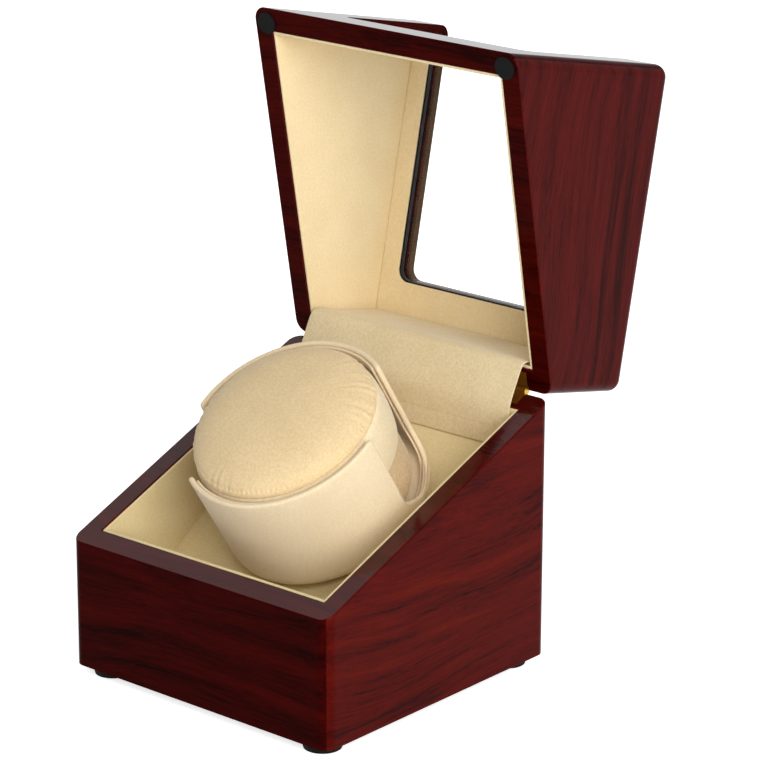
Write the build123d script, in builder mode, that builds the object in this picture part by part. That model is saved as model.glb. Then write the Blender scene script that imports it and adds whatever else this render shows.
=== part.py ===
from build123d import *
import os
from math import acos, atan2, cos, hypot, radians, sin, sqrt, tan

os.makedirs("parts", exist_ok=True)

# Single watch winder: a lacquered case sawn along a slope into base and lid, and inside it a
# suede cup with a pillow, which turns on a spindle square to the sloping deck.
# X is across, Y runs from front to back, Z is up. The origin is on the surface that the feet
# stand on, midway across, and midway between the front face and the rearmost point of the open lid.

# Case
width = 150.0
depth = 147.5
case_height = 172.2
front_height = 58.8
back_height = 119.3
wall = 10.0
edge_round = 5.8
rim_round = 0.7
rim_gap = 1.0
lining = 1.2
lining_set_back = 0.3

# Window in the lid
window_half = 53.1
window_foot = 95.0
window_rear = 119.5
window_round = 6.0
window_lip = 6.5
rebate = 4.0
pane = 1.5
pane_bend = 4.0
pane_clearance = 0.2
lining_reveal = 0.8

# Feet and bumpers
foot_height = 4.5
foot_radius = 9.5
foot_inset_side = 13.0
foot_inset_end = 12.0
foot_sole = 8.3
bumper_radius = 5.0
bumper_height = 0.9
bumper_inset = 7.3

# Bottom panel, fitted in a rebate of the boards
panel = 3.0
panel_rebate = 7.0
panel_clearance = 0.3
panel_screw_inset = 7.4
screw_radius = 1.3
screw_head = 2.6
screw_clearance = 0.05
cap_head = 1.6
panel_screw_length = 12.0

# Hinges
pin_out = 0.45
barrel_radius = 1.7
pin_radius = 0.8
running_clearance = 0.05
leaf = 0.9
leaf_gap = 0.05
leaf_reach = 8.5
leaf_length = 25.0
hinge_end = 61.5
knuckles = 3
knuckle_gap = 0.2
barrel_clearance = 0.35
groove_end_gap = 0.4
open_angle = 102.2
leaf_screw_length = 6.0
leaf_screw_radius = 0.9

# Deck and rotor; heights are measured along the spindle from the deck's face
deck_back_drop = 18.91028
spindle_shift = 16.0
deck = 3.0
deck_front_gap = 5.3
deck_hole = 14.0
rail = 8.0
rail_gap = 2.0
rest_turn = 31.0
cup_radius = 48.0
cup_wall = 2.4
cup_floor = 3.6
cup_round = 6.5
cheek = 60.0
notch_half = 21.5
notch_bottom = 8.7
notch_shoulder = 18.0
cup_lining_gap = 0.1
cup_lining_drop = 1.2
end_screw_lap = 0.8
end_screw_head = 1.8
cup_hole_clearance = 0.4

# Pillow
pillow_side_gap = 0.5
pillow_bulge = 0.9
pillow_seam = 58.5
pillow_crown = 71.0
pillow_crown_flat = 9.0
pillow_seat = 0.3
pillow_band_foot = 32.0
pillow_band_round = 3.0
pillow_body_inset = 2.6
pillow_foot_round = 6.0
seam_depth = 0.7

# Drive under the deck
spindle_radius = 3.0
hub_radius = 8.5
hub_drop = 1.5
flange_radius = 26.0
flange = 2.2
cup_screw_circle = 17.0
housing_radius = 8.0
housing_flange_radius = 21.0
housing_flange = 2.5
housing_length = 25.0
housing_screw_circle = 17.0
bush_radius = 5.0
ring_radius = 5.5
ring = 0.8
ring_gap = 0.2
pulley_level = 34.0
pulley_width = 5.0
belt_size = 1.6
belt_clearance = 0.15
drive_root = 18.4
motor_root = 4.0
pulley_flange = 1.8
pulley_holes = 3
pulley_hole_radius = 4.2
pulley_hole_circle = 11.5
motor_offset = 38.0
motor_radius = 12.5
motor_length = 21.0
motor_boss = 3.5
motor_boss_length = 2.6
motor_shaft_radius = 1.5
motor_shaft_in = 8.0
bracket_depth = 24.0
bracket_sheet = 1.5
bracket_half = 15.0
bracket_flange = 9.0
bracket_width = 28.0
motor_screw_circle = 8.5

# Power inlet, mode selector and control board in the back board
socket_x = -20.0
selector_x = 20.0
service_level = 32.0
web = 3.0
pocket_half_x = 34.0
pocket_half_z = 13.0
barrel_hole_clearance = 0.1
socket_barrel = 4.0
socket_bore = 1.8
socket_bore_length = 12.0
socket_body = 5.5
service_body_depth = 12.5
nut_across = 11.0
nut = 2.0
nut_stand = 0.4
selector_barrel = 3.5
selector_body = 13.0
selector_shaft = 2.0
selector_shaft_in = 6.0
knob_radius = 7.5
knob_stand = 3.0
knob_length = 9.0
knob_edge = 0.8
knob_flutes = 6
flute_radius = 1.1
board = 1.6
board_length = 60.0
board_height = 22.0

# Cloth over the hinge gap
cloth = 0.8
cloth_half = 60.0
cloth_gap = 0.15
cloth_end_gap = 0.4
cloth_sag = 5.8
cloth_bend = 1.0
cloth_hang = 9.0

# The pin lies on the saw line, behind the back face
slope = atan2(back_height - front_height, depth)
pin_depth = depth + pin_out * cos(slope)
pin_level = back_height + pin_out * sin(slope)
swing = radians(open_angle)

# Rearmost point of the open lid: its rounded front top edge, swung about the pin
edge_from_pin = (edge_round - pin_depth, case_height - edge_round - pin_level)
rear_reach = pin_depth + edge_from_pin[0] * cos(swing) + edge_from_pin[1] * sin(swing) + edge_round

front = -rear_reach / 2
back = front + depth
middle = (front + back) / 2
under = foot_height
top = under + case_height
pin_y = front + pin_depth
pin_z = under + pin_level
hinge_axis = Axis((0, pin_y, pin_z), (1, 0, 0))
inner_half = width / 2 - wall
inner_front = front + wall
inner_back = back - wall

saw = Plane(
    origin=(0, front, under + front_height),
    x_dir=(1, 0, 0),
    z_dir=(0, -sin(slope), cos(slope)),
)
slope_length = depth / cos(slope)



def saw_z(y):
    """Height of the saw line at a distance y along the case."""
    return under + front_height + (y - front) * tan(slope)


# The deck runs from its front gap above the bottom panel to its drop below the rim at the back
deck_run = inner_back - inner_front
deck_rise = saw_z(inner_back) - deck_back_drop - under - panel - deck_front_gap
tilt = acos(deck / hypot(deck_rise, deck_run)) - atan2(deck_run, deck_rise)
deck_drop = deck / cos(tilt)
spindle_y = middle + spindle_shift
spindle_z = under + panel + deck_front_gap + deck_drop + (spindle_y - inner_front) * tan(tilt)
deck_face = Plane(
    origin=(0, spindle_y, spindle_z), x_dir=(1, 0, 0), z_dir=(0, -sin(tilt), cos(tilt))
)
rotor = Plane(
    origin=(0, spindle_y, spindle_z),
    x_dir=deck_face.x_dir * cos(radians(rest_turn)) + deck_face.y_dir * sin(radians(rest_turn)),
    z_dir=deck_face.z_dir,
)
rotor_section = Plane(origin=rotor.origin, x_dir=rotor.x_dir, z_dir=-rotor.y_dir)
notch_section = Plane(origin=rotor.origin, x_dir=rotor.y_dir, z_dir=rotor.x_dir)
spindle_axis = Axis(rotor.origin, rotor.z_dir)


def deck_z(y):
    """Height of the deck's face at a distance y along the case."""
    return spindle_z + (y - spindle_y) * tan(tilt)


def swung(y, z):
    """Place in the open lid of a point given where it lies with the lid shut."""
    dy, dz = y - pin_y, z - pin_z
    return pin_y + dy * cos(swing) + dz * sin(swing), pin_z - dy * sin(swing) + dz * cos(swing)


def store(piece, name):
    """Label a finished piece and write its file."""
    piece.label = name
    export_step(piece, f"parts/{name}.step")


def opened(builder):
    """A lid piece, made where it lies with the lid shut, swung to the open rest place."""
    return builder.part.rotate(hinge_axis, -open_angle)


# Carcass: the closed case before it is sawn, rounded outside, open below
with BuildPart() as carcass:
    with BuildSketch(Plane.XY.offset(under)):
        with Locations((0, middle)):
            Rectangle(width, depth)
    extrude(amount=case_height)
    top_edges = carcass.faces().sort_by(Axis.Z)[-1].edges()
    fillet(carcass.edges().filter_by(Axis.Z) + top_edges, edge_round)
    with BuildSketch(Plane.XY.offset(under)):
        with Locations((0, middle)):
            Rectangle(width - 2 * wall, depth - 2 * wall)
    extrude(amount=case_height - wall, mode=Mode.SUBTRACT)

# Hinge places along X, and the leaves' screws, measured on the saw plane
hinge_starts = (-hinge_end, hinge_end - leaf_length)
leaf_inner = slope_length - leaf_reach
leaf_screw_spots = [
    (start + leaf_length * share, slope_length - leaf_reach * 0.5)
    for start in hinge_starts
    for share in (0.2, 0.8)
]
leaf_recess = leaf - (rim_gap / 2 - leaf_gap)
panel_screw_spots = [
    (side * (width / 2 - panel_screw_inset), middle + shift)
    for side in (-1, 1)
    for shift in (-depth / 4, depth / 4)
]


def hinge_section(x):
    """Plane square to the pin at x, its first axis along the saw line toward the back."""
    return Plane(origin=(x, pin_y, pin_z), x_dir=(0, cos(slope), sin(slope)), z_dir=(1, 0, 0))


# Grooves round the pin, in which the barrels of the butt hinges turn
with BuildPart() as hinge_grooves:
    for start in hinge_starts:
        with BuildSketch(hinge_section(start - groove_end_gap)):
            Circle(barrel_radius + barrel_clearance)
        extrude(amount=leaf_length + 2 * groove_end_gap)

# Base case: the carcass below the saw line
with BuildPart() as base_case:
    add(carcass.part)
    split(bisect_by=saw.offset(-rim_gap / 2), keep=Keep.BOTTOM)
    rim = base_case.faces().filter_by(saw).sort_by(Axis.Z)[-1]
    fillet(rim.edges(), rim_round)
    with BuildSketch(Plane.XY.offset(under)):
        with Locations((0, middle)):
            Rectangle(width - 2 * wall + 2 * panel_rebate, depth - 2 * wall + 2 * panel_rebate)
    extrude(amount=panel, mode=Mode.SUBTRACT)
    with BuildSketch(Plane.XY.offset(under)):
        with Locations(*panel_screw_spots):
            Circle(screw_radius + screw_clearance)
    extrude(amount=panel_screw_length + panel, mode=Mode.SUBTRACT)
    for start in hinge_starts:
        with BuildSketch(saw.offset(-rim_gap / 2 - leaf_recess)):
            with Locations((start, leaf_inner)):
                Rectangle(leaf_length, leaf_reach + wall, align=(Align.MIN, Align.MIN))
        extrude(amount=leaf, mode=Mode.SUBTRACT)
    with BuildSketch(saw):
        with Locations(*leaf_screw_spots):
            Circle(leaf_screw_radius + screw_clearance)
    extrude(amount=-leaf_screw_length - rim_gap, mode=Mode.SUBTRACT)
    add(hinge_grooves.part, mode=Mode.SUBTRACT)
    with BuildSketch(Plane.XZ.offset(-inner_back)):
        with Locations((0, under + service_level)):
            Rectangle(2 * pocket_half_x, 2 * pocket_half_z)
    extrude(amount=-(wall - web), mode=Mode.SUBTRACT)
    with BuildSketch(Plane.XZ.offset(-back)):
        with Locations((socket_x, under + service_level)):
            Circle(socket_barrel + barrel_hole_clearance)
        with Locations((selector_x, under + service_level)):
            Circle(selector_barrel + barrel_hole_clearance)
    extrude(amount=wall, mode=Mode.SUBTRACT)

# Lid case: the carcass above the saw line, with its window rebated from inside
with BuildPart() as lid_case:
    add(carcass.part)
    split(bisect_by=saw.offset(rim_gap / 2), keep=Keep.TOP)
    rim = lid_case.faces().filter_by(saw).sort_by(Axis.Z)[0]
    fillet(rim.edges(), rim_round)
    with BuildSketch(Plane.XZ.offset(-front + wall)):
        with Locations((0, under + window_foot)):
            RectangleRounded(2 * window_half, case_height, window_round, align=(Align.CENTER, Align.MIN))
    extrude(amount=-2 * wall, mode=Mode.SUBTRACT)
    with BuildSketch(Plane.XY.offset(top - wall)):
        with Locations((0, front + window_rear)):
            RectangleRounded(2 * window_half, depth, window_round, align=(Align.CENTER, Align.MAX))
    extrude(amount=2 * wall, mode=Mode.SUBTRACT)
    with BuildSketch(Plane.YZ):
        with Locations((front + window_lip, under + window_foot - rebate)):
            Rectangle(
                window_rear + rebate - window_lip,
                case_height - window_lip - window_foot + rebate,
                align=(Align.MIN, Align.MIN),
            )
    extrude(amount=window_half + rebate, both=True, mode=Mode.SUBTRACT)
    for start in hinge_starts:
        with BuildSketch(saw.offset(rim_gap / 2 + leaf_recess)):
            with Locations((start, leaf_inner)):
                Rectangle(leaf_length, leaf_reach + wall, align=(Align.MIN, Align.MIN))
        extrude(amount=-leaf, mode=Mode.SUBTRACT)
    with BuildSketch(saw):
        with Locations(*leaf_screw_spots):
            Circle(leaf_screw_radius + screw_clearance)
    extrude(amount=leaf_screw_length + rim_gap, mode=Mode.SUBTRACT)
    add(hinge_grooves.part, mode=Mode.SUBTRACT)

# Lining: one thin shell inside the case, cut off below by the deck
with BuildPart() as lining_shell:
    with BuildSketch(Plane.XY.offset(under)):
        with Locations((0, middle)):
            Rectangle(width - 2 * wall, depth - 2 * wall)
    extrude(amount=case_height - wall)
    with BuildSketch(Plane.XY.offset(under)):
        with Locations((0, middle)):
            Rectangle(width - 2 * (wall + lining), depth - 2 * (wall + lining))
    extrude(amount=case_height - wall - lining, mode=Mode.SUBTRACT)
    split(bisect_by=deck_face, keep=Keep.TOP)

with BuildPart() as base_lining:
    add(lining_shell.part)
    split(bisect_by=saw.offset(-rim_gap / 2 - lining_set_back), keep=Keep.BOTTOM)

with BuildPart() as lid_lining:
    add(lining_shell.part)
    split(bisect_by=saw.offset(rim_gap / 2 + lining_set_back), keep=Keep.TOP)
    with BuildSketch(Plane.XZ.offset(-inner_front - 2 * lining)):
        with Locations((0, under + window_foot - lining_reveal)):
            RectangleRounded(
                2 * (window_half + lining_reveal),
                case_height,
                window_round,
                align=(Align.CENTER, Align.MIN),
            )
    extrude(amount=3 * lining, mode=Mode.SUBTRACT)
    with BuildSketch(Plane.XY.offset(top - wall - 2 * lining)):
        with Locations((0, front + window_rear + lining_reveal)):
            RectangleRounded(
                2 * (window_half + lining_reveal), depth, window_round, align=(Align.CENTER, Align.MAX)
            )
    extrude(amount=3 * lining, mode=Mode.SUBTRACT)


def mitre(x, y, z, *toward):
    """Cut through an outer edge of the case at 45 degrees; the side that is kept lies toward it."""
    return Plane(origin=(x, y, z), z_dir=toward)


# Each side of the case is what lies beyond its mitres
half = width / 2
upright_mitres = {
    "front": (mitre(-half, front, 0, 1, -1, 0), mitre(half, front, 0, -1, -1, 0)),
    "back": (mitre(-half, back, 0, 1, 1, 0), mitre(half, back, 0, -1, 1, 0)),
    "left": (mitre(-half, front, 0, -1, 1, 0), mitre(-half, back, 0, -1, -1, 0)),
    "right": (mitre(half, front, 0, 1, 1, 0), mitre(half, back, 0, 1, -1, 0)),
}
top_mitres = {
    "front": mitre(0, front, top, 0, -1, -1),
    "back": mitre(0, back, top, 0, 1, -1),
    "left": mitre(-half, 0, top, -1, 0, -1),
    "right": mitre(half, 0, top, 1, 0, -1),
}

for side, cuts in upright_mitres.items():
    for case, kind in ((base_case, "board"), (base_lining, "lining")):
        with BuildPart() as base_side:
            add(case.part)
            for cut in cuts:
                split(bisect_by=cut, keep=Keep.TOP)
        store(base_side.part, f"base_{side}_{kind}")
    for case, kind in ((lid_case, "board"), (lid_lining, "lining")):
        with BuildPart() as lid_side:
            add(case.part)
            for cut in (*cuts, top_mitres[side]):
                split(bisect_by=cut, keep=Keep.TOP)
        store(opened(lid_side), f"lid_{side}_{kind}")

for case, kind in ((lid_case, "board"), (lid_lining, "lining")):
    with BuildPart() as lid_top:
        add(case.part)
        for cut in top_mitres.values():
            split(bisect_by=cut, keep=Keep.BOTTOM)
    store(opened(lid_top), f"lid_top_{kind}")


# Bent clear pane, held against the window's lip
pane_foot = under + window_foot - rebate + pane_clearance
pane_rear = front + window_rear + rebate - pane_clearance
with BuildPart() as window_pane:
    with BuildSketch(Plane.YZ):
        with BuildLine():
            FilletPolyline(
                (front + window_lip, pane_foot),
                (front + window_lip, top - window_lip),
                (pane_rear, top - window_lip),
                radius=pane_bend,
            )
            offset(amount=pane, side=Side.RIGHT)
        make_face()
    extrude(amount=window_half + rebate - pane_clearance, both=True)
store(opened(window_pane), "window_pane")

# Dark bead that closes the rebate behind the pane
bead_in = window_lip + pane
with BuildPart() as window_bead:
    with BuildSketch(Plane.YZ):
        with BuildLine():
            FilletPolyline(
                (front + bead_in, pane_foot),
                (front + bead_in, top - bead_in),
                (pane_rear, top - bead_in),
                radius=pane_bend - pane,
            )
            Polyline(
                (pane_rear, top - bead_in),
                (pane_rear, top - wall),
                (inner_front, top - wall),
                (inner_front, pane_foot),
                (front + bead_in, pane_foot),
            )
        make_face()
    extrude(amount=window_half + rebate - pane_clearance, both=True)
    with BuildSketch(Plane.XZ.offset(-front + wall)):
        with Locations((0, under + window_foot)):
            RectangleRounded(2 * window_half, case_height, window_round, align=(Align.CENTER, Align.MIN))
    extrude(amount=-3 * wall, mode=Mode.SUBTRACT)
    with BuildSketch(Plane.XY.offset(top - 2 * wall)):
        with Locations((0, front + window_rear)):
            RectangleRounded(2 * window_half, depth, window_round, align=(Align.CENTER, Align.MAX))
    extrude(amount=2 * wall, mode=Mode.SUBTRACT)
store(opened(window_bead), "window_bead")

# Rubber bumpers on the front corners of the lid's rim
with BuildPart() as lid_bumpers:
    with BuildSketch(saw.offset(rim_gap / 2)):
        with Locations(*[(side * (half - bumper_inset), bumper_inset) for side in (-1, 1)]):
            Circle(bumper_radius)
    extrude(amount=-bumper_height)
store(opened(lid_bumpers), "lid_bumpers")

# Rubber feet, tapered
with BuildPart() as feet:
    spots = [
        (side * (half - foot_inset_side), end)
        for side in (-1, 1)
        for end in (front + foot_inset_end, back - foot_inset_end)
    ]
    for x, y in spots:
        with BuildSketch(Plane(origin=(x, y, 0), x_dir=(1, 0, 0), z_dir=(0, -1, 0))):
            with BuildLine():
                Polyline((0, 0), (foot_sole, 0), (foot_radius, foot_height), (0, foot_height), close=True)
            make_face()
        revolve(axis=Axis((x, y, 0), (0, 0, 1)))
store(feet.part, "feet")

# Bottom panel and its countersunk screws
with BuildPart() as bottom_panel:
    with BuildSketch(Plane.XY.offset(under)):
        with Locations((0, middle)):
            Rectangle(
                width - 2 * wall + 2 * (panel_rebate - panel_clearance),
                depth - 2 * wall + 2 * (panel_rebate - panel_clearance),
            )
    extrude(amount=panel)
    with Locations(Plane(origin=(0, 0, under), x_dir=(1, 0, 0), z_dir=(0, 0, -1))):
        with Locations(*[(x, -y) for x, y in panel_screw_spots]):
            CounterSinkHole(
                screw_radius + screw_clearance, screw_head + screw_clearance, counter_sink_angle=90
            )
store(bottom_panel.part, "bottom_panel")


def screw_outline(shank, head, length, cone):
    """Half section of a countersunk screw, head face at the origin, pointing down its own axis."""
    with BuildLine() as line:
        Polyline((0, 0), (head, 0), (shank, -cone), (shank, -length), (0, -length), close=True)
    return line.wires()[0]


with BuildPart() as bottom_screws:
    for x, y in panel_screw_spots:
        with BuildSketch(Plane(origin=(x, y, under), x_dir=(1, 0, 0), z_dir=(0, 1, 0))):
            add(screw_outline(screw_radius, screw_head, panel_screw_length, screw_head - screw_radius))
            make_face()
        revolve(axis=Axis((x, y, under), (0, 0, 1)))
store(bottom_screws.part, "bottom_screws")


def leaf_pair(up, own):
    """The two hinge leaves of one side with their screws: up is 1 for the lid and -1 for the base."""
    pitch = leaf_length / knuckles
    with BuildPart() as leaves:
        for start in hinge_starts:
            with BuildSketch(hinge_section(start)):
                with Locations((-pin_out - leaf_reach, up * (leaf_gap + leaf / 2))):
                    Rectangle(
                        pin_out + leaf_reach - barrel_radius - barrel_clearance,
                        leaf,
                        align=(Align.MIN, Align.CENTER),
                    )
            extrude(amount=leaf_length)
            for knuckle in own:
                with BuildSketch(hinge_section(start + knuckle * pitch + knuckle_gap / 2)):
                    with Locations((0, up * (leaf_gap + leaf / 2))):
                        Rectangle(leaf_reach, leaf, align=(Align.MAX, Align.CENTER))
                    Circle(barrel_radius)
                extrude(amount=pitch - knuckle_gap)
            with BuildSketch(hinge_section(start)):
                Circle(pin_radius + running_clearance)
            extrude(amount=leaf_length, mode=Mode.SUBTRACT)
        with BuildSketch(saw.offset(up * (leaf_gap + leaf))):
            with Locations(*leaf_screw_spots):
                Circle(leaf_screw_radius)
        extrude(amount=up * (leaf_screw_length - leaf))
    return leaves


store(leaf_pair(-1, (0, 2)).part, "hinge_base_leaves")
store(opened(leaf_pair(1, (1,))), "hinge_lid_leaves")

with BuildPart() as hinge_pins:
    for start in hinge_starts:
        with BuildSketch(hinge_section(start)):
            Circle(pin_radius)
        extrude(amount=leaf_length)
store(hinge_pins.part, "hinge_pins")

# Cloth over the hinge gap: glued on the lid's back lining, hung across the gap, glued down to the deck
glue_y = inner_back - lining - cloth_gap
lid_bend = swung(glue_y, saw_z(glue_y))
base_bend = (glue_y, saw_z(glue_y))
chord = hypot(lid_bend[0] - base_bend[0], lid_bend[1] - base_bend[1])
sag_y = (lid_bend[0] + base_bend[0]) / 2 + cloth_sag * (lid_bend[1] - base_bend[1]) / chord
sag_z = (lid_bend[1] + base_bend[1]) / 2 - cloth_sag * (lid_bend[0] - base_bend[0]) / chord
with BuildPart() as hinge_cloth:
    with BuildSketch(Plane.YZ):
        with BuildLine():
            FilletPolyline(
                swung(glue_y, top - wall - lining - cloth_end_gap),
                lid_bend,
                (sag_y, sag_z),
                base_bend,
                (glue_y, deck_z(glue_y) + cloth_end_gap),
                radius=(cloth_bend, cloth_hang, cloth_bend),
            )
            offset(amount=cloth, side=Side.RIGHT)
        make_face()
    extrude(amount=cloth_half, both=True)
store(hinge_cloth.part, "hinge_cloth")

# Deck: a sloping board between front and back, with its two rails below
with BuildPart() as deck_panel:
    with BuildSketch(Plane.YZ):
        with BuildLine():
            Polyline(
                (inner_front, deck_z(inner_front)),
                (inner_back, deck_z(inner_back)),
                (inner_back, deck_z(inner_back) - deck_drop),
                (inner_front, deck_z(inner_front) - deck_drop),
                close=True,
            )
        make_face()
    extrude(amount=inner_half, both=True)
    with BuildSketch(deck_face):
        Circle(deck_hole)
    extrude(amount=-deck, mode=Mode.SUBTRACT)
store(deck_panel.part, "deck_panel")

rail_drop = rail / cos(tilt)
rail_front = spindle_y + (under + panel + rail_gap + deck_drop + rail_drop - spindle_z) / tan(tilt)
with BuildPart() as deck_rails:
    with BuildSketch(Plane.YZ.offset(inner_half - rail)):
        with BuildLine():
            Polyline(
                (rail_front, deck_z(rail_front) - deck_drop),
                (inner_back, deck_z(inner_back) - deck_drop),
                (inner_back, deck_z(inner_back) - deck_drop - rail_drop),
                (rail_front, deck_z(rail_front) - deck_drop - rail_drop),
                close=True,
            )
        make_face()
    extrude(amount=rail)
    mirror(about=Plane.YZ)
store(deck_rails.part, "deck_rails")


def ring_section(*points):
    """Closed half section on the rotor's axis, from radius and height pairs."""
    with BuildLine() as line:
        Polyline(*points, close=True)
    return line.wires()[0]


# Bearing housing under the deck, and the bronze bush in its bore
housing_top = -deck
housing_foot = housing_top - housing_length
housing_spots = PolarLocations(housing_screw_circle, 3)
with BuildPart() as spindle_housing:
    with BuildSketch(rotor_section):
        add(
            ring_section(
                (bush_radius, housing_top),
                (housing_flange_radius, housing_top),
                (housing_flange_radius, housing_top - housing_flange),
                (housing_radius + 2, housing_top - housing_flange),
                (housing_radius, housing_top - housing_flange - 2),
                (housing_radius, housing_foot),
                (bush_radius, housing_foot),
            )
        )
        make_face()
    revolve(axis=spindle_axis)
    with BuildSketch(rotor.offset(housing_top)):
        with PolarLocations(housing_screw_circle, 3):
            Circle(screw_radius + screw_clearance)
    extrude(amount=-housing_flange, mode=Mode.SUBTRACT)
store(spindle_housing.part, "spindle_housing")

with BuildPart() as spindle_bush:
    with BuildSketch(rotor.offset(housing_top)):
        Circle(bush_radius)
        Circle(spindle_radius + running_clearance, mode=Mode.SUBTRACT)
    extrude(amount=-housing_length)
store(spindle_bush.part, "spindle_bush")

# Turntable on the spindle, and the screws at the spindle's two ends
flange_top = cup_floor
flange_foot = flange_top - flange
with BuildPart() as turntable:
    with BuildSketch(rotor_section):
        add(
            ring_section(
                (spindle_radius, -hub_drop),
                (hub_radius, -hub_drop),
                (hub_radius, flange_foot),
                (flange_radius, flange_foot),
                (flange_radius, flange_top),
                (spindle_radius, flange_top),
            )
        )
        make_face()
    revolve(axis=spindle_axis)
    with BuildSketch(rotor.offset(flange_top)):
        with PolarLocations(cup_screw_circle, 3):
            Circle(screw_radius + screw_clearance)
    extrude(amount=-flange, mode=Mode.SUBTRACT)
store(turntable.part, "turntable")

spindle_foot = -pulley_level - pulley_width / 2
screw_bore = 8.0
with BuildPart() as spindle:
    with BuildSketch(rotor.offset(spindle_foot)):
        Circle(spindle_radius)
    extrude(amount=flange_top - spindle_foot)
    for level, way in ((spindle_foot, 1), (flange_top, -1)):
        with BuildSketch(rotor.offset(level)):
            Circle(screw_radius + screw_clearance)
        extrude(amount=way * screw_bore, mode=Mode.SUBTRACT)
store(spindle.part, "spindle")

end_screw_radius = spindle_radius + end_screw_lap
with BuildPart() as spindle_screws:
    for level, way in ((spindle_foot, -1), (flange_top, 1)):
        with BuildSketch(rotor.offset(level)):
            Circle(end_screw_radius)
        extrude(amount=way * end_screw_head)
        with BuildSketch(rotor.offset(level)):
            Circle(screw_radius)
        extrude(amount=-way * (screw_bore - 1))
store(spindle_screws.part, "spindle_screws")

with BuildPart() as retaining_ring:
    with BuildSketch(rotor.offset(housing_foot - ring_gap)):
        Circle(ring_radius)
        Circle(spindle_radius, mode=Mode.SUBTRACT)
    extrude(amount=-ring)
store(retaining_ring.part, "retaining_ring")

# Rotor cup: a round pot, hollowed between two cheeks by a notch on each side
cup_inner = cup_radius - cup_wall
cup_hole = end_screw_radius + cup_hole_clearance


def notch_cutter(shave):
    """The notch across both sides of the cup, as one solid."""
    with BuildPart() as cutter:
        with BuildSketch(notch_section):
            with BuildLine():
                ThreePointArc(
                    (-notch_half - shave, notch_shoulder),
                    (0, notch_bottom - shave),
                    (notch_half + shave, notch_shoulder),
                )
                Polyline(
                    (notch_half + shave, notch_shoulder),
                    (notch_half + shave, 2 * cheek),
                    (-notch_half - shave, 2 * cheek),
                    (-notch_half - shave, notch_shoulder),
                )
            make_face()
        extrude(amount=2 * cup_radius, both=True)
    return cutter.part


# The cup's lower corner is round outside and bevelled inside
cup_seat = cup_floor + cup_wall
cup_bevel = cup_round - cup_wall
with BuildPart() as rotor_cup:
    with BuildSketch(rotor_section):
        with BuildLine():
            FilletPolyline(
                (cup_hole, cup_floor), (cup_radius, cup_floor), (cup_radius, cheek), radius=cup_round
            )
            Polyline(
                (cup_radius, cheek),
                (cup_inner, cheek),
                (cup_inner, cup_seat + cup_bevel),
                (cup_inner - cup_bevel, cup_seat),
                (cup_hole, cup_seat),
                (cup_hole, cup_floor),
            )
        make_face()
    revolve(axis=spindle_axis)
    add(notch_cutter(0), mode=Mode.SUBTRACT)
    with Locations(rotor.offset(cup_seat)):
        with PolarLocations(cup_screw_circle, 3):
            CounterSinkHole(
                screw_radius + screw_clearance, screw_head + screw_clearance, counter_sink_angle=90
            )
store(rotor_cup.part, "rotor_cup")

lining_radius = cup_inner - cup_lining_gap
lining_inner = lining_radius - lining
lining_seat = cup_seat + lining
lining_bevel = cup_bevel - lining * (2 - sqrt(2))
lining_top = cheek - cup_lining_drop
with BuildPart() as cup_lining:
    with BuildSketch(rotor_section):
        with BuildLine():
            Polyline(
                (cup_hole, cup_seat),
                (lining_radius - cup_bevel, cup_seat),
                (lining_radius, cup_seat + cup_bevel),
                (lining_radius, lining_top),
                (lining_inner, lining_top),
                (lining_inner, lining_seat + lining_bevel),
                (lining_inner - lining_bevel, lining_seat),
                (cup_hole, lining_seat),
                close=True,
            )
        make_face()
    revolve(axis=spindle_axis)
    add(notch_cutter(cup_lining_drop), mode=Mode.SUBTRACT)
store(cup_lining.part, "cup_lining")


def polar_screws(level, circle, way, length):
    """Three countersunk screws on a circle about the spindle, driven way along it from a level."""
    with BuildPart() as screws:
        for spot in PolarLocations(circle, 3):
            centre = rotor.from_local_coords(Vector(spot.position.X, spot.position.Y, level))
            with BuildSketch(Plane(origin=centre, x_dir=rotor.x_dir, z_dir=rotor.y_dir * way)):
                add(screw_outline(screw_radius, screw_head, length, screw_head - screw_radius))
                make_face()
            revolve(axis=Axis(centre, rotor.z_dir))
    return screws


store(polar_screws(cup_seat, cup_screw_circle, -1, cup_wall + flange).part, "cup_screws")

# Watch pillow: crowned top, sewn seam, side band, and below the band a narrower body
pillow_radius = lining_inner - pillow_side_gap
pillow_seam_radius = pillow_radius - pillow_bulge
pillow_body_radius = pillow_radius - pillow_body_inset
pillow_foot = lining_seat + pillow_seat
crown_rise = pillow_crown - pillow_seam
with BuildPart() as watch_pillow:
    with BuildSketch(rotor_section):
        with BuildLine():
            Polyline(
                (0, pillow_foot),
                (pillow_body_radius - pillow_foot_round, pillow_foot),
                (pillow_body_radius, pillow_foot + pillow_foot_round),
                (pillow_body_radius, pillow_band_foot),
                (pillow_seam_radius, pillow_band_foot + pillow_band_round),
                (pillow_radius, (pillow_band_foot + pillow_band_round + pillow_seam) / 2),
                (pillow_seam_radius, pillow_seam - seam_depth),
                (pillow_seam_radius - seam_depth, pillow_seam),
                (pillow_seam_radius, pillow_seam + seam_depth),
                (pillow_seam_radius - crown_rise * 0.2, pillow_seam + crown_rise * 0.33),
                (pillow_seam_radius - crown_rise * 0.8, pillow_seam + crown_rise * 0.66),
                (pillow_seam_radius - crown_rise * 1.7, pillow_seam + crown_rise * 0.9),
                (pillow_crown_flat, pillow_crown),
                (0, pillow_crown),
                close=True,
            )
        make_face()
    revolve(axis=spindle_axis)
store(watch_pillow.part, "watch_pillow")


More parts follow.
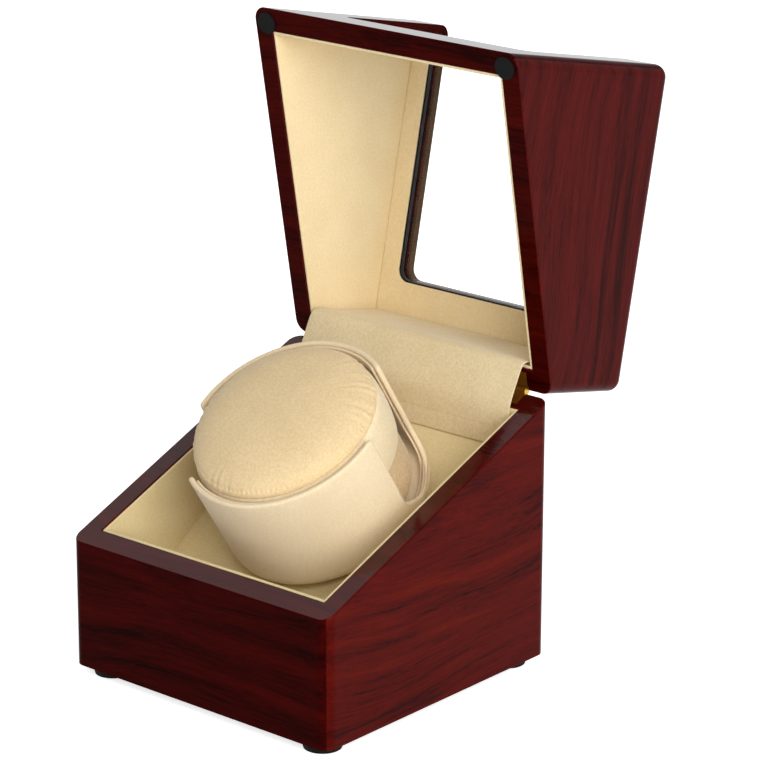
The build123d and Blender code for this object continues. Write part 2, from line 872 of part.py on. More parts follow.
# Pulleys with a square groove, the belt round them, and the motor on its bracket
def pulley(root, bore, hub, hub_length, holes):
    """Grooved pulley about the spindle axis, centred on the belt's level."""
    edge = root + pulley_flange
    groove = belt_size / 2 + belt_clearance
    low, high = -pulley_level - pulley_width / 2, -pulley_level + pulley_width / 2
    with BuildPart() as wheel:
        with BuildSketch(rotor_section):
            add(
                ring_section(
                    (bore, low),
                    (edge, low),
                    (edge, -pulley_level - groove),
                    (root, -pulley_level - groove),
                    (root, -pulley_level + groove),
                    (edge, -pulley_level + groove),
                    (edge, high),
                    (hub, high),
                    (hub, high + hub_length),
                    (bore, high + hub_length),
                )
            )
            make_face()
        revolve(axis=spindle_axis)
        if holes:
            with BuildSketch(rotor.offset(low)):
                with PolarLocations(pulley_hole_circle, holes):
                    Circle(pulley_hole_radius)
            extrude(amount=pulley_width, mode=Mode.SUBTRACT)
    return wheel


def at_motor(piece):
    """Shift a piece made about the spindle to the motor's axis."""
    return piece.translate(Vector(-motor_offset, 0, 0))


store(pulley(drive_root, spindle_radius, 6.0, 1.0, pulley_holes).part, "drive_pulley")
store(at_motor(pulley(motor_root, motor_shaft_radius, 3.0, 0.6, 0).part), "motor_pulley")

with BuildPart() as drive_belt:
    with BuildSketch(deck_face.offset(-pulley_level - belt_size / 2)) as run:
        for grow, mode in ((belt_size, Mode.ADD), (0, Mode.SUBTRACT)):
            with BuildSketch(mode=Mode.PRIVATE) as loop:
                Circle(drive_root + belt_clearance + grow)
                with Locations((-motor_offset, 0)):
                    Circle(motor_root + belt_clearance + grow)
                make_hull()
            add(loop.sketch, mode=mode)
    extrude(amount=belt_size)
store(drive_belt.part, "drive_belt")

motor_face = -deck - bracket_depth
with BuildPart() as gear_motor:
    with BuildSketch(rotor_section):
        with BuildLine():
            Polyline(
                (0, motor_face + motor_length),
                (motor_radius, motor_face + motor_length),
                (motor_radius, motor_face),
                (motor_boss, motor_face),
                (motor_boss, motor_face - motor_boss_length),
                (motor_shaft_radius + running_clearance, motor_face - motor_boss_length),
                (motor_shaft_radius + running_clearance, motor_face + motor_shaft_in + running_clearance),
                (0, motor_face + motor_shaft_in + running_clearance),
                close=True,
            )
        make_face()
    revolve(axis=spindle_axis)
    with BuildSketch(deck_face.offset(motor_face)):
        with Locations((0, motor_screw_circle), (0, -motor_screw_circle)):
            Circle(screw_radius + screw_clearance)
    extrude(amount=5, mode=Mode.SUBTRACT)
store(at_motor(gear_motor.part), "gear_motor")

with BuildPart() as motor_shaft:
    with BuildSketch(deck_face.offset(-pulley_level - pulley_width / 2)):
        Circle(motor_shaft_radius)
    extrude(amount=motor_face + motor_shaft_in + pulley_level + pulley_width / 2)
store(at_motor(motor_shaft.part), "motor_shaft")

bracket_section = Plane(
    origin=deck_face.origin + Vector(-motor_offset - bracket_width / 2, 0, 0),
    x_dir=deck_face.y_dir,
    z_dir=(1, 0, 0),
)
bracket_spots = [(-motor_offset, side * (bracket_half + bracket_flange * 0.6)) for side in (-1, 1)]
with BuildPart() as motor_bracket:
    with BuildSketch(bracket_section):
        with BuildLine():
            FilletPolyline(
                (-bracket_half - bracket_flange, -deck),
                (-bracket_half, -deck),
                (-bracket_half, motor_face),
                (bracket_half, motor_face),
                (bracket_half, -deck),
                (bracket_half + bracket_flange, -deck),
                radius=(2.5, 1.0, 1.0, 2.5),
            )
            offset(amount=bracket_sheet, side=Side.RIGHT)
        make_face()
    extrude(amount=bracket_width)
    with BuildSketch(deck_face.offset(motor_face)):
        with Locations((-motor_offset, 0)):
            Circle(motor_boss + running_clearance)
        with Locations((-motor_offset, motor_screw_circle), (-motor_offset, -motor_screw_circle)):
            Circle(screw_radius + screw_clearance)
    extrude(amount=-bracket_sheet, mode=Mode.SUBTRACT)
    with BuildSketch(deck_face.offset(-deck)):
        with Locations(*bracket_spots):
            Circle(screw_radius + screw_clearance)
    extrude(amount=-bracket_sheet, mode=Mode.SUBTRACT)
store(motor_bracket.part, "motor_bracket")


def cap_screws(spots, head_level, length):
    """Round-headed screws driven up, square to the deck, from under a face at head_level."""
    with BuildPart() as screws:
        with BuildSketch(deck_face.offset(head_level)):
            with Locations(*spots):
                Circle(screw_head)
        extrude(amount=-cap_head)
        with BuildSketch(deck_face.offset(head_level)):
            with Locations(*spots):
                Circle(screw_radius)
        extrude(amount=length)
    return screws


motor_spots = [(-motor_offset, side * motor_screw_circle) for side in (-1, 1)]
turned = [
    (
        housing_screw_circle * cos(radians(rest_turn + 120 * count)),
        housing_screw_circle * sin(radians(rest_turn + 120 * count)),
    )
    for count in range(3)
]
store(cap_screws(motor_spots, motor_face - bracket_sheet, bracket_sheet + 4).part, "motor_screws")
store(cap_screws(bracket_spots, -deck - bracket_sheet, bracket_sheet).part, "bracket_screws")
store(cap_screws(turned, -deck - housing_flange, housing_flange).part, "housing_screws")

# Power inlet: a socket in a threaded barrel through the back board's thin web, with its nut
service_z = under + service_level


def back_axis(x):
    """Axis square to the back face at x, pointing out of the case."""
    return Axis((x, back, service_z), (0, 1, 0))


def back_section(x):
    """Half-section plane at x: first axis is the radius, second points out of the back face."""
    return Plane(origin=(x, back, service_z), x_dir=(1, 0, 0), z_dir=(0, 0, 1))


barrel_end = nut + nut_stand
with BuildPart() as power_inlet:
    with BuildSketch(back_section(socket_x)):
        with BuildLine():
            Polyline(
                (socket_bore, barrel_end),
                (socket_barrel, barrel_end),
                (socket_barrel, -web),
                (socket_body, -web),
                (socket_body, -service_body_depth),
                (0, -service_body_depth),
                (0, barrel_end - socket_bore_length),
                (socket_bore, barrel_end - socket_bore_length),
                close=True,
            )
        make_face()
    revolve(axis=back_axis(socket_x))
store(power_inlet.part, "power_inlet")

with BuildPart() as mode_selector:
    with BuildSketch(Plane.XZ.offset(-back + web)):
        with Locations((selector_x, service_z)):
            Rectangle(selector_body, selector_body)
    extrude(amount=service_body_depth - web)
    chamfer(mode_selector.edges().filter_by(Axis.Y), 1.0)
    with BuildSketch(Plane.XZ.offset(-back + web)):
        with Locations((selector_x, service_z)):
            Circle(selector_barrel)
    extrude(amount=-web - barrel_end)
    with BuildSketch(Plane.XZ.offset(-back - barrel_end)):
        with Locations((selector_x, service_z)):
            Circle(selector_shaft + running_clearance)
    extrude(amount=barrel_end + selector_shaft_in, mode=Mode.SUBTRACT)
store(mode_selector.part, "mode_selector")

with BuildPart() as panel_nuts:
    for x, barrel in ((socket_x, socket_barrel), (selector_x, selector_barrel)):
        with BuildSketch(Plane.XZ.offset(-back)):
            with Locations((x, service_z)):
                RegularPolygon(nut_across / 2, 6, major_radius=False)
                Circle(barrel + screw_clearance, mode=Mode.SUBTRACT)
        extrude(amount=-nut)
store(panel_nuts.part, "panel_nuts")

with BuildPart() as mode_knob:
    with BuildSketch(Plane.XZ.offset(-back - knob_stand)):
        with Locations((selector_x, service_z)):
            Circle(knob_radius)
    extrude(amount=-knob_length)
    chamfer(mode_knob.faces().sort_by(Axis.Y)[-1].edges(), knob_edge)
    with BuildSketch(Plane.XZ.offset(-back - knob_stand)):
        with Locations((selector_x, service_z)):
            with PolarLocations(knob_radius + flute_radius * 0.35, knob_flutes):
                Circle(flute_radius)
    extrude(amount=-knob_length, mode=Mode.SUBTRACT)
    with BuildSketch(Plane.XZ.offset(-back - knob_stand - knob_length)):
        with Locations((selector_x, service_z + knob_radius / 2)):
            Rectangle(0.9, knob_radius * 0.6)
    extrude(amount=0.5, mode=Mode.SUBTRACT)
    with BuildSketch(Plane.XZ.offset(-back - knob_stand)):
        with Locations((selector_x, service_z)):
            Circle(selector_shaft)
    extrude(amount=knob_stand + selector_shaft_in - running_clearance)
store(mode_knob.part, "mode_knob")

with BuildPart() as control_board:
    with BuildSketch(Plane.XZ.offset(-back + service_body_depth)):
        with Locations((0, service_z)):
            Rectangle(board_length, board_height)
    extrude(amount=board)
    with BuildSketch(Plane.XZ.offset(-back + service_body_depth + board)):
        with Locations((-8, service_z + 3)):
            Rectangle(10, 6)
        with Locations((6, service_z - 4)):
            Rectangle(6, 5)
    extrude(amount=1.6)
    with BuildSketch(Plane.XZ.offset(-back + service_body_depth + board)):
        with Locations((18, service_z + 4)):
            Circle(3.2)
    extrude(amount=7)
store(control_board.part, "control_board")
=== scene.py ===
"""Looks of the watch winder: lacquered case, suede inside, rotor cup with its velvet pillow."""

from __future__ import annotations

import logging
import math
from dataclasses import dataclass, field
from enum import Enum

import bmesh
import bpy
import numpy as np
from mathutils import Matrix, Vector

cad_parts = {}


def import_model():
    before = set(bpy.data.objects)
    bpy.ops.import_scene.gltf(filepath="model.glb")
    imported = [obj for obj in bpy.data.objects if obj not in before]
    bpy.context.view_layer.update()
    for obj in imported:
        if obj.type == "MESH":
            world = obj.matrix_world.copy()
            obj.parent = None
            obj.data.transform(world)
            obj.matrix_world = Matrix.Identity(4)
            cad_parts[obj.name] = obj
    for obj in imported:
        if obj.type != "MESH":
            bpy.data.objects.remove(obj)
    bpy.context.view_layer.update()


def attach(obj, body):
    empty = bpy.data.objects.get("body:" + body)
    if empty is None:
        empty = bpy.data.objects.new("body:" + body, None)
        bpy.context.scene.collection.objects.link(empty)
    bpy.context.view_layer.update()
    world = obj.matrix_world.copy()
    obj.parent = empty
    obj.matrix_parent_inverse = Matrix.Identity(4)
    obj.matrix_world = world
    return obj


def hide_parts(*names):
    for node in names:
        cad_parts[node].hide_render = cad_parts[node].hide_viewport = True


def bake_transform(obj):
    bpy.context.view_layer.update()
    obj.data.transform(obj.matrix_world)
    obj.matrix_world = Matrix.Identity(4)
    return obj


MM = 0.001
PER_METRE = (1000.0, 1000.0, 1000.0)
CAD_MERGE = 2e-6
MERGE = 1e-7
WHITE = (1.0, 1.0, 1.0, 1.0)
LOG = logging.getLogger("winder")

Value = float | int | str | tuple | bpy.types.NodeSocket
Material = bpy.types.Material
Object = bpy.types.Object
Tree = bpy.types.NodeTree
Looks = dict[str, Material]


class Grain(Enum):
    """Which way a board's veneer runs, in the shut case."""

    ACROSS = "x"
    ALONG = "y"


def linear(colour: str) -> tuple[float, float, float, float]:
    """Turn an sRGB hex colour, "#rrggbb", to linear light.

    Args:
        colour: the colour as written.

    Returns:
        Red, green, blue and a full alpha in linear light.
    """
    parts = [int(colour[i : i + 2], 16) / 255 for i in (1, 3, 5)]
    red, green, blue = (c / 12.92 if c <= 0.04045 else ((c + 0.055) / 1.055) ** 2.4 for c in parts)
    return (red, green, blue, 1.0)


def feed(tree: Tree, made: bpy.types.Node, inputs: dict[str | int, Value]) -> None:
    """Set a node's inputs.

    Args:
        tree: the material's node tree.
        made: the node.
        inputs: socket to value, or to the output socket that feeds it.
    """
    for key, value in inputs.items():
        if isinstance(value, bpy.types.NodeSocket):
            tree.links.new(value, made.inputs[key])
        else:
            made.inputs[key].default_value = value


def node(
    tree: Tree,
    kind: str,
    inputs: dict[str | int, Value] | None = None,
    stops: list[tuple[float, str]] | None = None,
    **settings: Value,
) -> bpy.types.Node:
    """Add one shader node with its settings, values and links.

    Args:
        tree: the material's node tree.
        kind: Blender's name of the node type, after "ShaderNode".
        inputs: socket to value, or to the output socket that feeds it.
        stops: for a colour ramp, its positions and hex colours, the outer two first.
        settings: attributes of the node.

    Returns:
        The new node.
    """
    made = tree.nodes.new("ShaderNode" + kind)
    for key, value in settings.items():
        setattr(made, key, value)
    feed(tree, made, inputs or {})
    for count, (place, colour) in enumerate(stops or []):
        elements = made.color_ramp.elements
        stop = elements[count] if count < 2 else elements.new(place)
        stop.position = place
        stop.color = linear(colour)
    return made


def new_material(
    name: str, turned: tuple[float, float, float] = (0.0, 0.0, 0.0)
) -> tuple[Material, Tree, bpy.types.Node, bpy.types.NodeSocket]:
    """Make an empty node material.

    Args:
        name: the material's name.
        turned: how its pattern is turned, in radians.

    Returns:
        The material, its tree, its Principled shader, and the place on the object in millimetres.
    """
    made = bpy.data.materials.new(name)
    made.use_nodes = True
    tree = made.node_tree
    tree.nodes.clear()
    shader = node(tree, "BsdfPrincipled")
    node(tree, "OutputMaterial", {"Surface": shader.outputs[0]})
    place = node(tree, "TexCoord").outputs["Object"]
    lay = node(tree, "Mapping", {"Vector": place, "Rotation": turned, "Scale": PER_METRE})
    return made, tree, shader, lay.outputs[0]


@dataclass(frozen=True)
class LacqueredVeneer:
    """Rosewood veneer under polyester piano lacquer, sprayed and buffed.

    The wood's colour sits deep and saturated, streaked along the grain; the lacquer adds a sharp,
    thin reflection with the faintest waviness. The colours go from the streaks to the light wood.
    """

    name: str
    colours: tuple[str, str, str]
    grain: Grain = Grain.ACROSS
    turn: float = 0.0
    lean: float = 0.0
    gloss: float = 1.1
    blur: float = 0.03

    def build(self) -> Material:
        """Build the material.

        The grain is three noises, each stretched along the board: bands 7 mm wide, pores 1 mm
        wide and fibres 0.3 mm wide. A slow noise about 100 mm long sways them by up to 22 mm. Pores
        are 38% of the streaks and fibres 20% of the figure. The lacquer's waves are 11 mm wide.

        Returns:
            The veneer, its grain laid along the board.
        """
        spin = 0.0 if self.grain is Grain.ACROSS else math.pi / 2
        turned = (math.radians(self.turn), math.radians(self.lean), spin)
        made, tree, shader, lay = new_material(self.name, turned)
        slow = node(tree, "Mapping", {"Vector": lay, "Scale": (0.008, 0.012, 0.012)}).outputs[0]
        sway = node(tree, "TexNoise", {"Vector": slow, "Scale": 1.0, "Detail": 1.0})
        swayed = node(
            tree,
            "VectorMath",
            {0: sway.outputs["Color"], 1: (0.0, 22.0, 22.0), 2: lay},
            operation="MULTIPLY_ADD",
        ).outputs[0]
        grains = []
        for long, wide, detail, rough in (
            (140.0, 7.0, 3.0, 0.6),
            (45.0, 1.0, 3.0, 0.6),
            (7.0, 0.3, 2.0, 0.5),
        ):
            stretch = (1 / long, 1 / wide, 1 / wide)
            stretched = node(tree, "Mapping", {"Vector": swayed, "Scale": stretch}).outputs[0]
            noise = {"Vector": stretched, "Scale": 1.0, "Detail": detail, "Roughness": rough}
            grains.append(node(tree, "TexNoise", noise).outputs["Fac"])
        bands, pores, fibres = grains
        streaks = node(tree, "Mix", {0: 0.38, 2: bands, 3: pores}, data_type="FLOAT")
        figure = node(tree, "Mix", {0: 0.2, 2: streaks.outputs[0], 3: fibres}, data_type="FLOAT")
        dark, middle, light = self.colours
        colour = node(
            tree,
            "ValToRGB",
            {"Fac": figure.outputs[0]},
            stops=[(0.37, dark), (0.66, light), (0.47, middle)],
        )
        film = node(tree, "TexNoise", {"Vector": lay, "Scale": 0.09, "Detail": 1.0})
        wave = node(
            tree, "Bump", {"Strength": 0.06, "Distance": 0.4 * MM, "Height": film.outputs["Fac"]}
        )
        dressed = {
            "Base Color": colour.outputs[0],
            "Coat Normal": wave.outputs[0],
            "Roughness": 0.5,
            "Specular IOR Level": 0.0,
            "Coat Weight": 1.0,
            "Coat IOR": self.gloss,
            "Coat Roughness": self.blur,
        }
        feed(tree, shader, dressed)
        return made


@dataclass(frozen=True)
class Suede:
    """Microfibre suede or velvet, brushed: matt, a soft sheen, patches where the nap lies over."""

    name: str
    colour: str
    shade: str
    nap: float = 0.35
    relief: float = 0.5
    sheen: float = 0.25

    def build(self) -> Material:
        """Build the material.

        Brushed patches are 22 mm wide and the mottle 1.1 mm. The nap's real 0.1 mm is too fine to
        show, so it is drawn at 0.35 to 0.8 mm.

        Returns:
            The suede.
        """
        made, tree, shader, lay = new_material(self.name)
        noises = []
        for size, detail, rough in ((22.0, 3.0, 0.6), (1.1, 3.0, 0.7), (self.nap, 2.0, 0.7)):
            noise = {"Vector": lay, "Scale": 1 / size, "Detail": detail, "Roughness": rough}
            noises.append(node(tree, "TexNoise", noise).outputs["Fac"])
        brushed, mottle, fine = noises
        both = node(tree, "Mix", {0: 0.7, 2: brushed, 3: mottle}, data_type="FLOAT")
        ramp = [(0.4, self.shade), (0.6, self.colour)]
        colour = node(tree, "ValToRGB", {"Fac": both.outputs[0]}, stops=ramp)
        bump = node(tree, "Bump", {"Strength": self.relief, "Distance": 0.15 * MM, "Height": fine})
        dressed = {
            "Base Color": colour.outputs[0],
            "Normal": bump.outputs[0],
            "Roughness": 0.95,
            "Specular IOR Level": 0.1,
            "Sheen Weight": self.sheen,
            "Sheen Roughness": 0.4,
        }
        feed(tree, shader, dressed)
        return made


@dataclass(frozen=True)
class Moulded:
    """A moulded, cast, turned or painted surface with a fine even grit and slight colour drift."""

    name: str
    colour: str
    roughness: float = 0.5
    metallic: float = 0.0
    grit: float = 0.6
    relief: float = 0.1
    drift: float = 0.12
    specular: float = 0.5

    def build(self) -> Material:
        """Build the material.

        The grit is drawn at its size in millimetres, the drift of colour and gloss at 7 mm.

        Returns:
            The plastic, rubber, paint or metal.
        """
        made, tree, shader, lay = new_material(self.name)
        grit = node(tree, "TexNoise", {"Vector": lay, "Scale": 1 / self.grit, "Detail": 3.0})
        slow = node(tree, "TexNoise", {"Vector": lay, "Scale": 1 / 7, "Detail": 2.0})
        cloud = slow.outputs["Fac"]
        base = linear(self.colour)[:3]
        darker = tuple(c * (1 - self.drift) for c in base) + (1.0,)
        paler = tuple(min(1.0, c * (1 + self.drift)) for c in base) + (1.0,)
        tint = node(tree, "Mix", {0: cloud, 6: darker, 7: paler}, data_type="RGBA")
        height = grit.outputs["Fac"]
        bump = node(tree, "Bump", {"Strength": self.relief, "Distance": 0.1 * MM, "Height": height})
        spread = {0: cloud, 3: self.roughness * 0.85, 4: min(1.0, self.roughness * 1.15)}
        dressed = {
            "Base Color": tint.outputs[2],
            "Normal": bump.outputs[0],
            "Roughness": node(tree, "MapRange", spread).outputs[0],
            "Metallic": self.metallic,
            "Specular IOR Level": self.specular,
        }
        feed(tree, shader, dressed)
        return made


@dataclass(frozen=True)
class ClearAcrylic:
    """Cast acrylic sheet, heat-bent and flame-polished: clear, with a sharp faint reflection."""

    name: str = "clear_acrylic"

    def build(self) -> Material:
        """Build the material.

        Returns:
            The clear sheet, a trace less polished in patches 15 mm wide.
        """
        made, tree, shader, lay = new_material(self.name)
        haze = node(tree, "TexNoise", {"Vector": lay, "Scale": 1 / 15, "Detail": 2.0})
        rough = node(tree, "MapRange", {0: haze.outputs["Fac"], 3: 0.0, 4: 0.01})
        dressed = {
            "Roughness": rough.outputs[0],
            "Base Color": WHITE,
            "IOR": 1.49,
            "Transmission Weight": 1.0,
        }
        feed(tree, shader, dressed)
        return made


def link_object(name: str, data: bpy.types.ID) -> Object:
    """Put a mesh, lamp or camera into the scene.

    Args:
        name: the object's name.
        data: the mesh, lamp or camera.

    Returns:
        The object, standing at the origin.
    """
    made = bpy.data.objects.new(name, data)
    bpy.context.scene.collection.objects.link(made)
    return made


def make_piece(name: str, points: np.ndarray, faces: np.ndarray, finish: Material) -> Object:
    """Put an array of points and quads into a new smooth mesh object.

    Args:
        name: the object's name.
        points: n by 3, in metres, in the shared frame.
        faces: m by 4 indices.
        finish: its material.

    Returns:
        The object, standing at the origin.
    """
    mesh = bpy.data.meshes.new(name)
    mesh.from_pydata(points, [], faces.tolist())
    mesh.validate()
    mesh.shade_smooth()
    mesh.materials.append(finish)
    return link_object(name, mesh)


def grid_faces(rows: int, columns: int, close_rows: bool, close_columns: bool) -> np.ndarray:
    """Quads of a grid of points stored row by row.

    Args:
        rows: how many rows of points.
        columns: how many points in a row.
        close_rows: whether the last row joins the first.
        close_columns: whether each row's last point joins its first.

    Returns:
        The faces as indices, four in a row.
    """
    r = np.arange(rows if close_rows else rows - 1)
    c = np.arange(columns if close_columns else columns - 1)
    r1, c1 = np.meshgrid(r, c, indexing="ij")
    r2, c2 = (r1 + 1) % rows, (c1 + 1) % columns
    quads = [r1 * columns + c1, r1 * columns + c2, r2 * columns + c2, r2 * columns + c1]
    return np.stack(quads, axis=-1).reshape(-1, 4)


def read_items(items: bpy.types.bpy_prop_collection, name: str, width: int = 3) -> np.ndarray:
    """Copy one property of all of a mesh's items into an array.

    Args:
        items: the mesh's vertices, loops, faces or normals.
        name: the property.
        width: how many numbers each item has; one number is read as whole numbers.

    Returns:
        The values, a row for each item, or a plain list of whole numbers.
    """
    values = np.zeros(len(items) * width, np.int32 if width == 1 else np.float32)
    items.foreach_get(name, values)
    return values if width == 1 else values.reshape(-1, width).astype(float)


def unit(vectors: np.ndarray) -> np.ndarray:
    """Scale each row to length one."""
    return vectors / np.linalg.norm(vectors, axis=-1, keepdims=True)


def run_length(points: np.ndarray) -> np.ndarray:
    """Distance along a line to each of its points."""
    return np.concatenate([[0], np.cumsum(np.linalg.norm(np.diff(points, axis=0), axis=1))])


def eased(share: np.ndarray) -> np.ndarray:
    """Turn a straight ramp from 0 to 1 into one that starts and ends level."""
    return share * share * (3 - 2 * share)


def smoothed_loop(points: np.ndarray, window: int) -> np.ndarray:
    """Round the corners of a closed line of evenly spaced points by a moving average.

    Args:
        points: n by 2 or 3.
        window: how many neighbours each side count.

    Returns:
        The rounded line, of as many points.
    """
    kernel = np.hanning(2 * window + 3)[1:-1]
    kernel = kernel / kernel.sum()
    wrapped = np.concatenate([points[-window:], points, points[:window]])
    return np.stack([np.convolve(column, kernel, mode="valid") for column in wrapped.T], axis=1)


def outward(piece: Object, merge: float = MERGE) -> Object:
    """Merge a piece's double points and turn its faces outwards.

    Args:
        piece: a closed mesh object.
        merge: how near two points are one, in metres.

    Returns:
        The same object.
    """
    work = bmesh.new()
    work.from_mesh(piece.data)
    bmesh.ops.remove_doubles(work, verts=work.verts, dist=merge)
    bmesh.ops.recalc_face_normals(work, faces=work.faces)
    work.to_mesh(piece.data)
    work.free()
    return piece


def merged_copy(source: str, name: str, finish: Material) -> Object:
    """Copy a CAD node's mesh with its points merged.

    Args:
        source: the CAD node.
        name: the new piece's name.
        finish: its material.

    Returns:
        The copy, smooth where its faces meet at under 30 degrees.
    """
    sharp = math.radians(30)
    mesh = bpy.data.objects[source].data.copy()
    mesh.name = name
    mesh.materials.clear()
    mesh.materials.append(finish)
    work = bmesh.new()
    work.from_mesh(mesh)
    bmesh.ops.remove_doubles(work, verts=work.verts, dist=CAD_MERGE)
    bmesh.ops.dissolve_degenerate(work, edges=work.edges, dist=MERGE)
    for edge in work.edges:
        edge.smooth = not (edge.is_manifold and edge.calc_face_angle(0.0) > sharp)
    for face in work.faces:
        face.smooth = True
        face.material_index = 0
    work.to_mesh(mesh)
    work.free()
    return link_object(name, mesh)


def even_normals(piece: Object) -> Object:
    """Let large faces rule the shading where they run into small rounded ones.

    Args:
        piece: a mesh object with its sharp edges marked.

    Returns:
        The same object.
    """
    rule = piece.modifiers.new("even", "WEIGHTED_NORMAL")
    rule.keep_sharp = True
    rule.weight = 100
    return piece


@dataclass
class Assembly:
    """What every sub-assembly shares: its body and how it reports its pieces."""

    body: str
    made: list[str] = field(default_factory=list, init=False)

    def build(self, looks: Looks) -> None:
        """Make the pieces and dress them from the finishes by name."""
        raise NotImplementedError

    def place(self, piece: Object, slot: str, *nodes: str) -> None:
        """Make a finished piece ride on the sub-assembly's body in place of CAD nodes.

        Args:
            piece: the finished object.
            slot: not used.
            nodes: the CAD nodes that it stands for.
        """
        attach(piece, self.body)
        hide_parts(*nodes)
        self.made.append(piece.name)


@dataclass(frozen=True)
class CasePlaces:
    """Where the case stands, in millimetres in the shared frame, as the CAD model has it."""

    front: float = -114.80921
    under: float = 4.5
    width: float = 150.0
    depth: float = 147.5
    case_height: float = 172.2
    front_height: float = 58.8
    back_height: float = 119.3
    wall: float = 10.0
    lining: float = 1.2
    edge_round: float = 5.8
    pin_out: float = 0.45
    open_angle: float = 102.2
    deck_tilt: float = 33.5
    spindle_depth: float = 89.75
    spindle_level: float = 64.68299
    rest_turn: float = 31.0

    @property
    def back(self) -> float:
        """Y of the back face."""
        return self.front + self.depth

    @property
    def top(self) -> float:
        """Z of the shut lid's top."""
        return self.under + self.case_height

    @property
    def slope(self) -> float:
        """Angle of the saw line, in radians."""
        return math.atan2(self.back_height - self.front_height, self.depth)

    @property
    def pin(self) -> tuple[float, float]:
        """Y and Z of the hinge pin."""
        level = self.under + self.back_height + self.pin_out * math.sin(self.slope)
        return self.back + self.pin_out * math.cos(self.slope), level

    def saw_z(self, y: float) -> float:
        """Height of the saw line at y."""
        return self.under + self.front_height + (y - self.front) * math.tan(self.slope)

    def deck_z(self, y: float) -> float:
        """Height of the deck's face at y."""
        run = y - (self.front + self.spindle_depth)
        return self.under + self.spindle_level + run * math.tan(math.radians(self.deck_tilt))

    def opened(self, points: np.ndarray, shut: bool = False) -> np.ndarray:
        """Swing points about the hinge pin from the shut lid to the open one.

        Args:
            points: n by 3 in millimetres.
            shut: swing back to the shut lid instead.

        Returns:
            The swung points.
        """
        angle = math.radians(self.open_angle) * (-1 if shut else 1)
        sine, cosine = math.sin(angle), math.cos(angle)
        y, z = points[:, 1] - self.pin[0], points[:, 2] - self.pin[1]
        swung = (self.pin[0] + y * cosine + z * sine, self.pin[1] - y * sine + z * cosine)
        return np.stack([points[:, 0], *swung], axis=1)

    def turned(self, directions: np.ndarray, shut: bool = False) -> np.ndarray:
        """Turn directions as `opened` swings points.

        Args:
            directions: n by 3.
            shut: turn back to the shut lid instead.

        Returns:
            The turned directions.
        """
        shift = np.array([0.0, *self.pin])
        return self.opened(directions + shift, shut) - shift

    def rotor(self, radius: np.ndarray, angle: np.ndarray, height: np.ndarray) -> np.ndarray:
        """Place points about the tilted spindle: its foot, plus radius out, plus height along it.

        Args:
            radius: distance from the spindle, in millimetres.
            angle: turn from the rotor's own first axis, in radians.
            height: distance above the deck, in millimetres.

        Returns:
            An n by 3 array in metres.
        """
        tilt, turn = math.radians(self.deck_tilt), angle + math.radians(self.rest_turn)
        sine, cosine = math.sin(tilt), math.cos(tilt)
        foot = np.array([0.0, self.front + self.spindle_depth, self.under + self.spindle_level])
        axes = np.array([[1.0, 0.0, 0.0], [0.0, cosine, sine], [0.0, -sine, cosine]])
        parts = np.broadcast_arrays(radius * np.cos(turn), radius * np.sin(turn), height)
        return (foot + np.stack(parts, -1) @ axes).reshape(-1, 3) * MM


CASE = CasePlaces()

# The lid's veneer was cut with the base's, so its grain is laid in the shut case.
LID = {"turn": CASE.open_angle}

